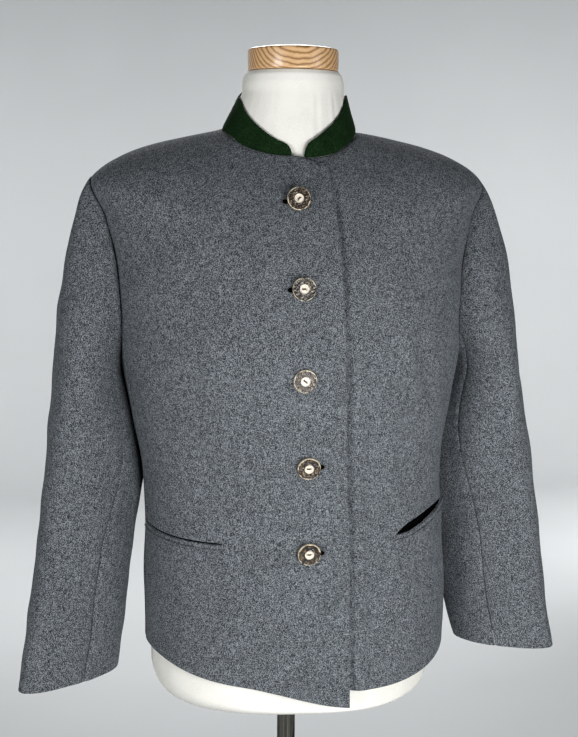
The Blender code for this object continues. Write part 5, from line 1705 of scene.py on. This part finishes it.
def add_jacket():
    """All pieces of cloth, with their sewing and buttons."""
    loden = loden_material("grey_loden")
    thread = thread_material("grey_thread", THREAD_DARK, THREAD_GREY)
    # Painted shade for the insides of the pocket slits and the buttonhole slots
    dark = shadow_material("slot_shadow")
    on_front_right = [show(add_edge_stitching("edge_stitching", thread))]
    for number, (x, z, _, reach) in enumerate(BUTTONS, start=1):
        for piece in add_buttonhole("buttonhole_%d" % number, x, z, reach, thread, dark):
            on_front_right.append(show(piece))
    cut(add_front("front_right", -1, loden, dark), "front_right")
    cut(add_front("front_left", 1, loden, dark), "front_left")
    cut(add_back("back", loden), "back")
    for word, side in (("right", -1), ("left", 1)):
        cut(add_side("side_" + word, side, loden), "side_" + word)
        upper = add_sleeve_piece("sleeve_upper_" + word, side, -SLEEVE_SEAM_TURN, SLEEVE_SEAM_TURN,
                                 UPPER_SLEEVE_COLUMNS, loden)
        cut(upper, "sleeve_upper_" + word)
        under = add_sleeve_piece("sleeve_under_" + word, side, SLEEVE_SEAM_TURN,
                                 360.0 - SLEEVE_SEAM_TURN, UNDER_SLEEVE_COLUMNS, loden)
        cut(under, "sleeve_under_" + word)
        welt = "pocket_welt_" + word
        sewing = show(add_welt_stitching("welt_stitching_" + word, side, thread))
        cut(add_welt(welt + "_cloth", side, loden), welt)
    collar = add_collar("collar_cloth", felt_material("green_felt"))
    cut(collar, "collar")
    black = thread_material("black_thread", SLOT_SHADE_AND_THREAD_DARK, BLACK_THREAD)
    for number, (x, z, face_down, _) in enumerate(BUTTONS, start=1):
        node = "button_%d" % number
        horn = horn_material("stag_horn_%d" % number, number)
        button, sewing = add_button(node + "_horn", number, x, z, face_down, horn, black)
        show(button, node)
        show(sewing)


def add_stand():
    """The form, its cap, the pole and the base."""
    show(add_form("form_torso_jersey", jersey_material("cotton_jersey")), "form_torso")
    cap = [(CAP_RADIUS * share, CAP_TOP_Z - drop) for share, drop in CAP_DOME]
    cap += rounded_corner(CAP_RADIUS, CAP_EDGE_TOP_Z, CAP_BEVEL * 1.6, True)
    cap += rounded_corner(CAP_RADIUS, CAP_BOTTOM_Z, CAP_BEVEL, False)
    cap += [(CAP_RADIUS * 0.5, CAP_BOTTOM_Z), (0.0, CAP_BOTTOM_Z)]
    wood = wood_material("varnished_beech")
    show(add_turned("neck_cap_wood", cap, (FORM_MID_X, FORM_NECK[-1][3]), wood), "neck_cap")
    top, bottom = FORM_FOOT_Z - SEAM_GAP, BASE_THICKNESS + SEAM_GAP
    pole = [(0.0, top), (POLE_RADIUS, top), (POLE_RADIUS, bottom), (0.0, bottom)]
    show(add_turned("pole_steel", pole, (0.0, 0.0), steel_material("drawn_steel", DRAWN_STREAKS)), "pole")
    base = [(0.0, BASE_THICKNESS), (BASE_RADIUS * 0.4, BASE_THICKNESS)]
    base += rounded_corner(BASE_RADIUS, BASE_THICKNESS, BASE_BEVEL, True)
    base += rounded_corner(BASE_RADIUS, 0.0, BASE_BEVEL * 0.3, False)
    base += [(BASE_RADIUS * 0.4, 0.0), (0.0, 0.0)]
    show(add_turned("base_steel", base, (0.0, 0.0), steel_material("turned_steel", TURNED_STREAKS)), "base")


def add_studio():
    """A pale floor that curves up into the wall, and broad soft light from the front."""
    solid = bmesh.new()
    rows = [(FLOOR_FRONT, 0.0), (WALL_Y - COVE, 0.0)]
    rows += [(WALL_Y - COVE + COVE * math.sin(math.radians(turn)), COVE - COVE * math.cos(math.radians(turn)))
             for turn in range(COVE_STEP, 91, COVE_STEP)]
    rows += [(WALL_Y, WALL_HEIGHT)]
    strips = [[solid.verts.new((side * WALL_HALF_WIDTH, y, z)) for side in (-1.0, 1.0)] for y, z in rows]
    for below, above in zip(strips, strips[1:]):
        solid.faces.new((below[0], below[1], above[1], above[0]))
    floor = object_of("studio_floor", solid, paper_material("studio_paper"), closed=False)
    for name, place, aim, size, power in LIGHTS:
        light = bpy.data.lights.new(name, "AREA")
        light.shape = "RECTANGLE"
        light.size, light.size_y = size
        light.energy = power
        lamp = linked(name, light)
        lamp.location = place
        lamp.rotation_mode = "QUATERNION"
        lamp.rotation_quaternion = (Vector(aim) - Vector(place)).to_track_quat("-Z", "Y")
        lamp.visible_camera = False
    world = bpy.data.worlds.new("studio")
    world.use_nodes = True
    background = world.node_tree.nodes["Background"]
    background.inputs["Color"].default_value = WORLD_COLOUR
    background.inputs["Strength"].default_value = WORLD_STRENGTH
    bpy.context.scene.world = world


def add_camera():
    """The view from a little to the wearer's right, slightly down on the chest."""
    heading, pitch, roll = (math.radians(turn) for turn in (CAMERA_HEADING, CAMERA_PITCH, CAMERA_ROLL))
    ahead = np.array((math.sin(heading) * math.cos(pitch), math.cos(heading) * math.cos(pitch),
                      -math.sin(pitch)))
    right = np.array((math.cos(heading), -math.sin(heading), 0.0))
    up = np.cross(right, ahead)
    rolled_right = right * math.cos(roll) + up * math.sin(roll)
    rolled_up = up * math.cos(roll) - right * math.sin(roll)
    camera = bpy.data.cameras.new("camera")
    camera.sensor_fit = "VERTICAL"
    camera.sensor_height = SENSOR_MM
    camera.lens = CAMERA_LENS_MM
    camera.clip_end = CAMERA_FAR
    holder = linked("camera", camera)
    holder.matrix_world = Matrix((*zip(rolled_right, rolled_up, -ahead, CAMERA_PLACE), (0.0, 0.0, 0.0, 1.0)))
    bpy.context.scene.camera = holder


add_camera()
add_studio()
add_jacket()
add_stand()
bpy.context.scene.view_settings.view_transform = "Standard"
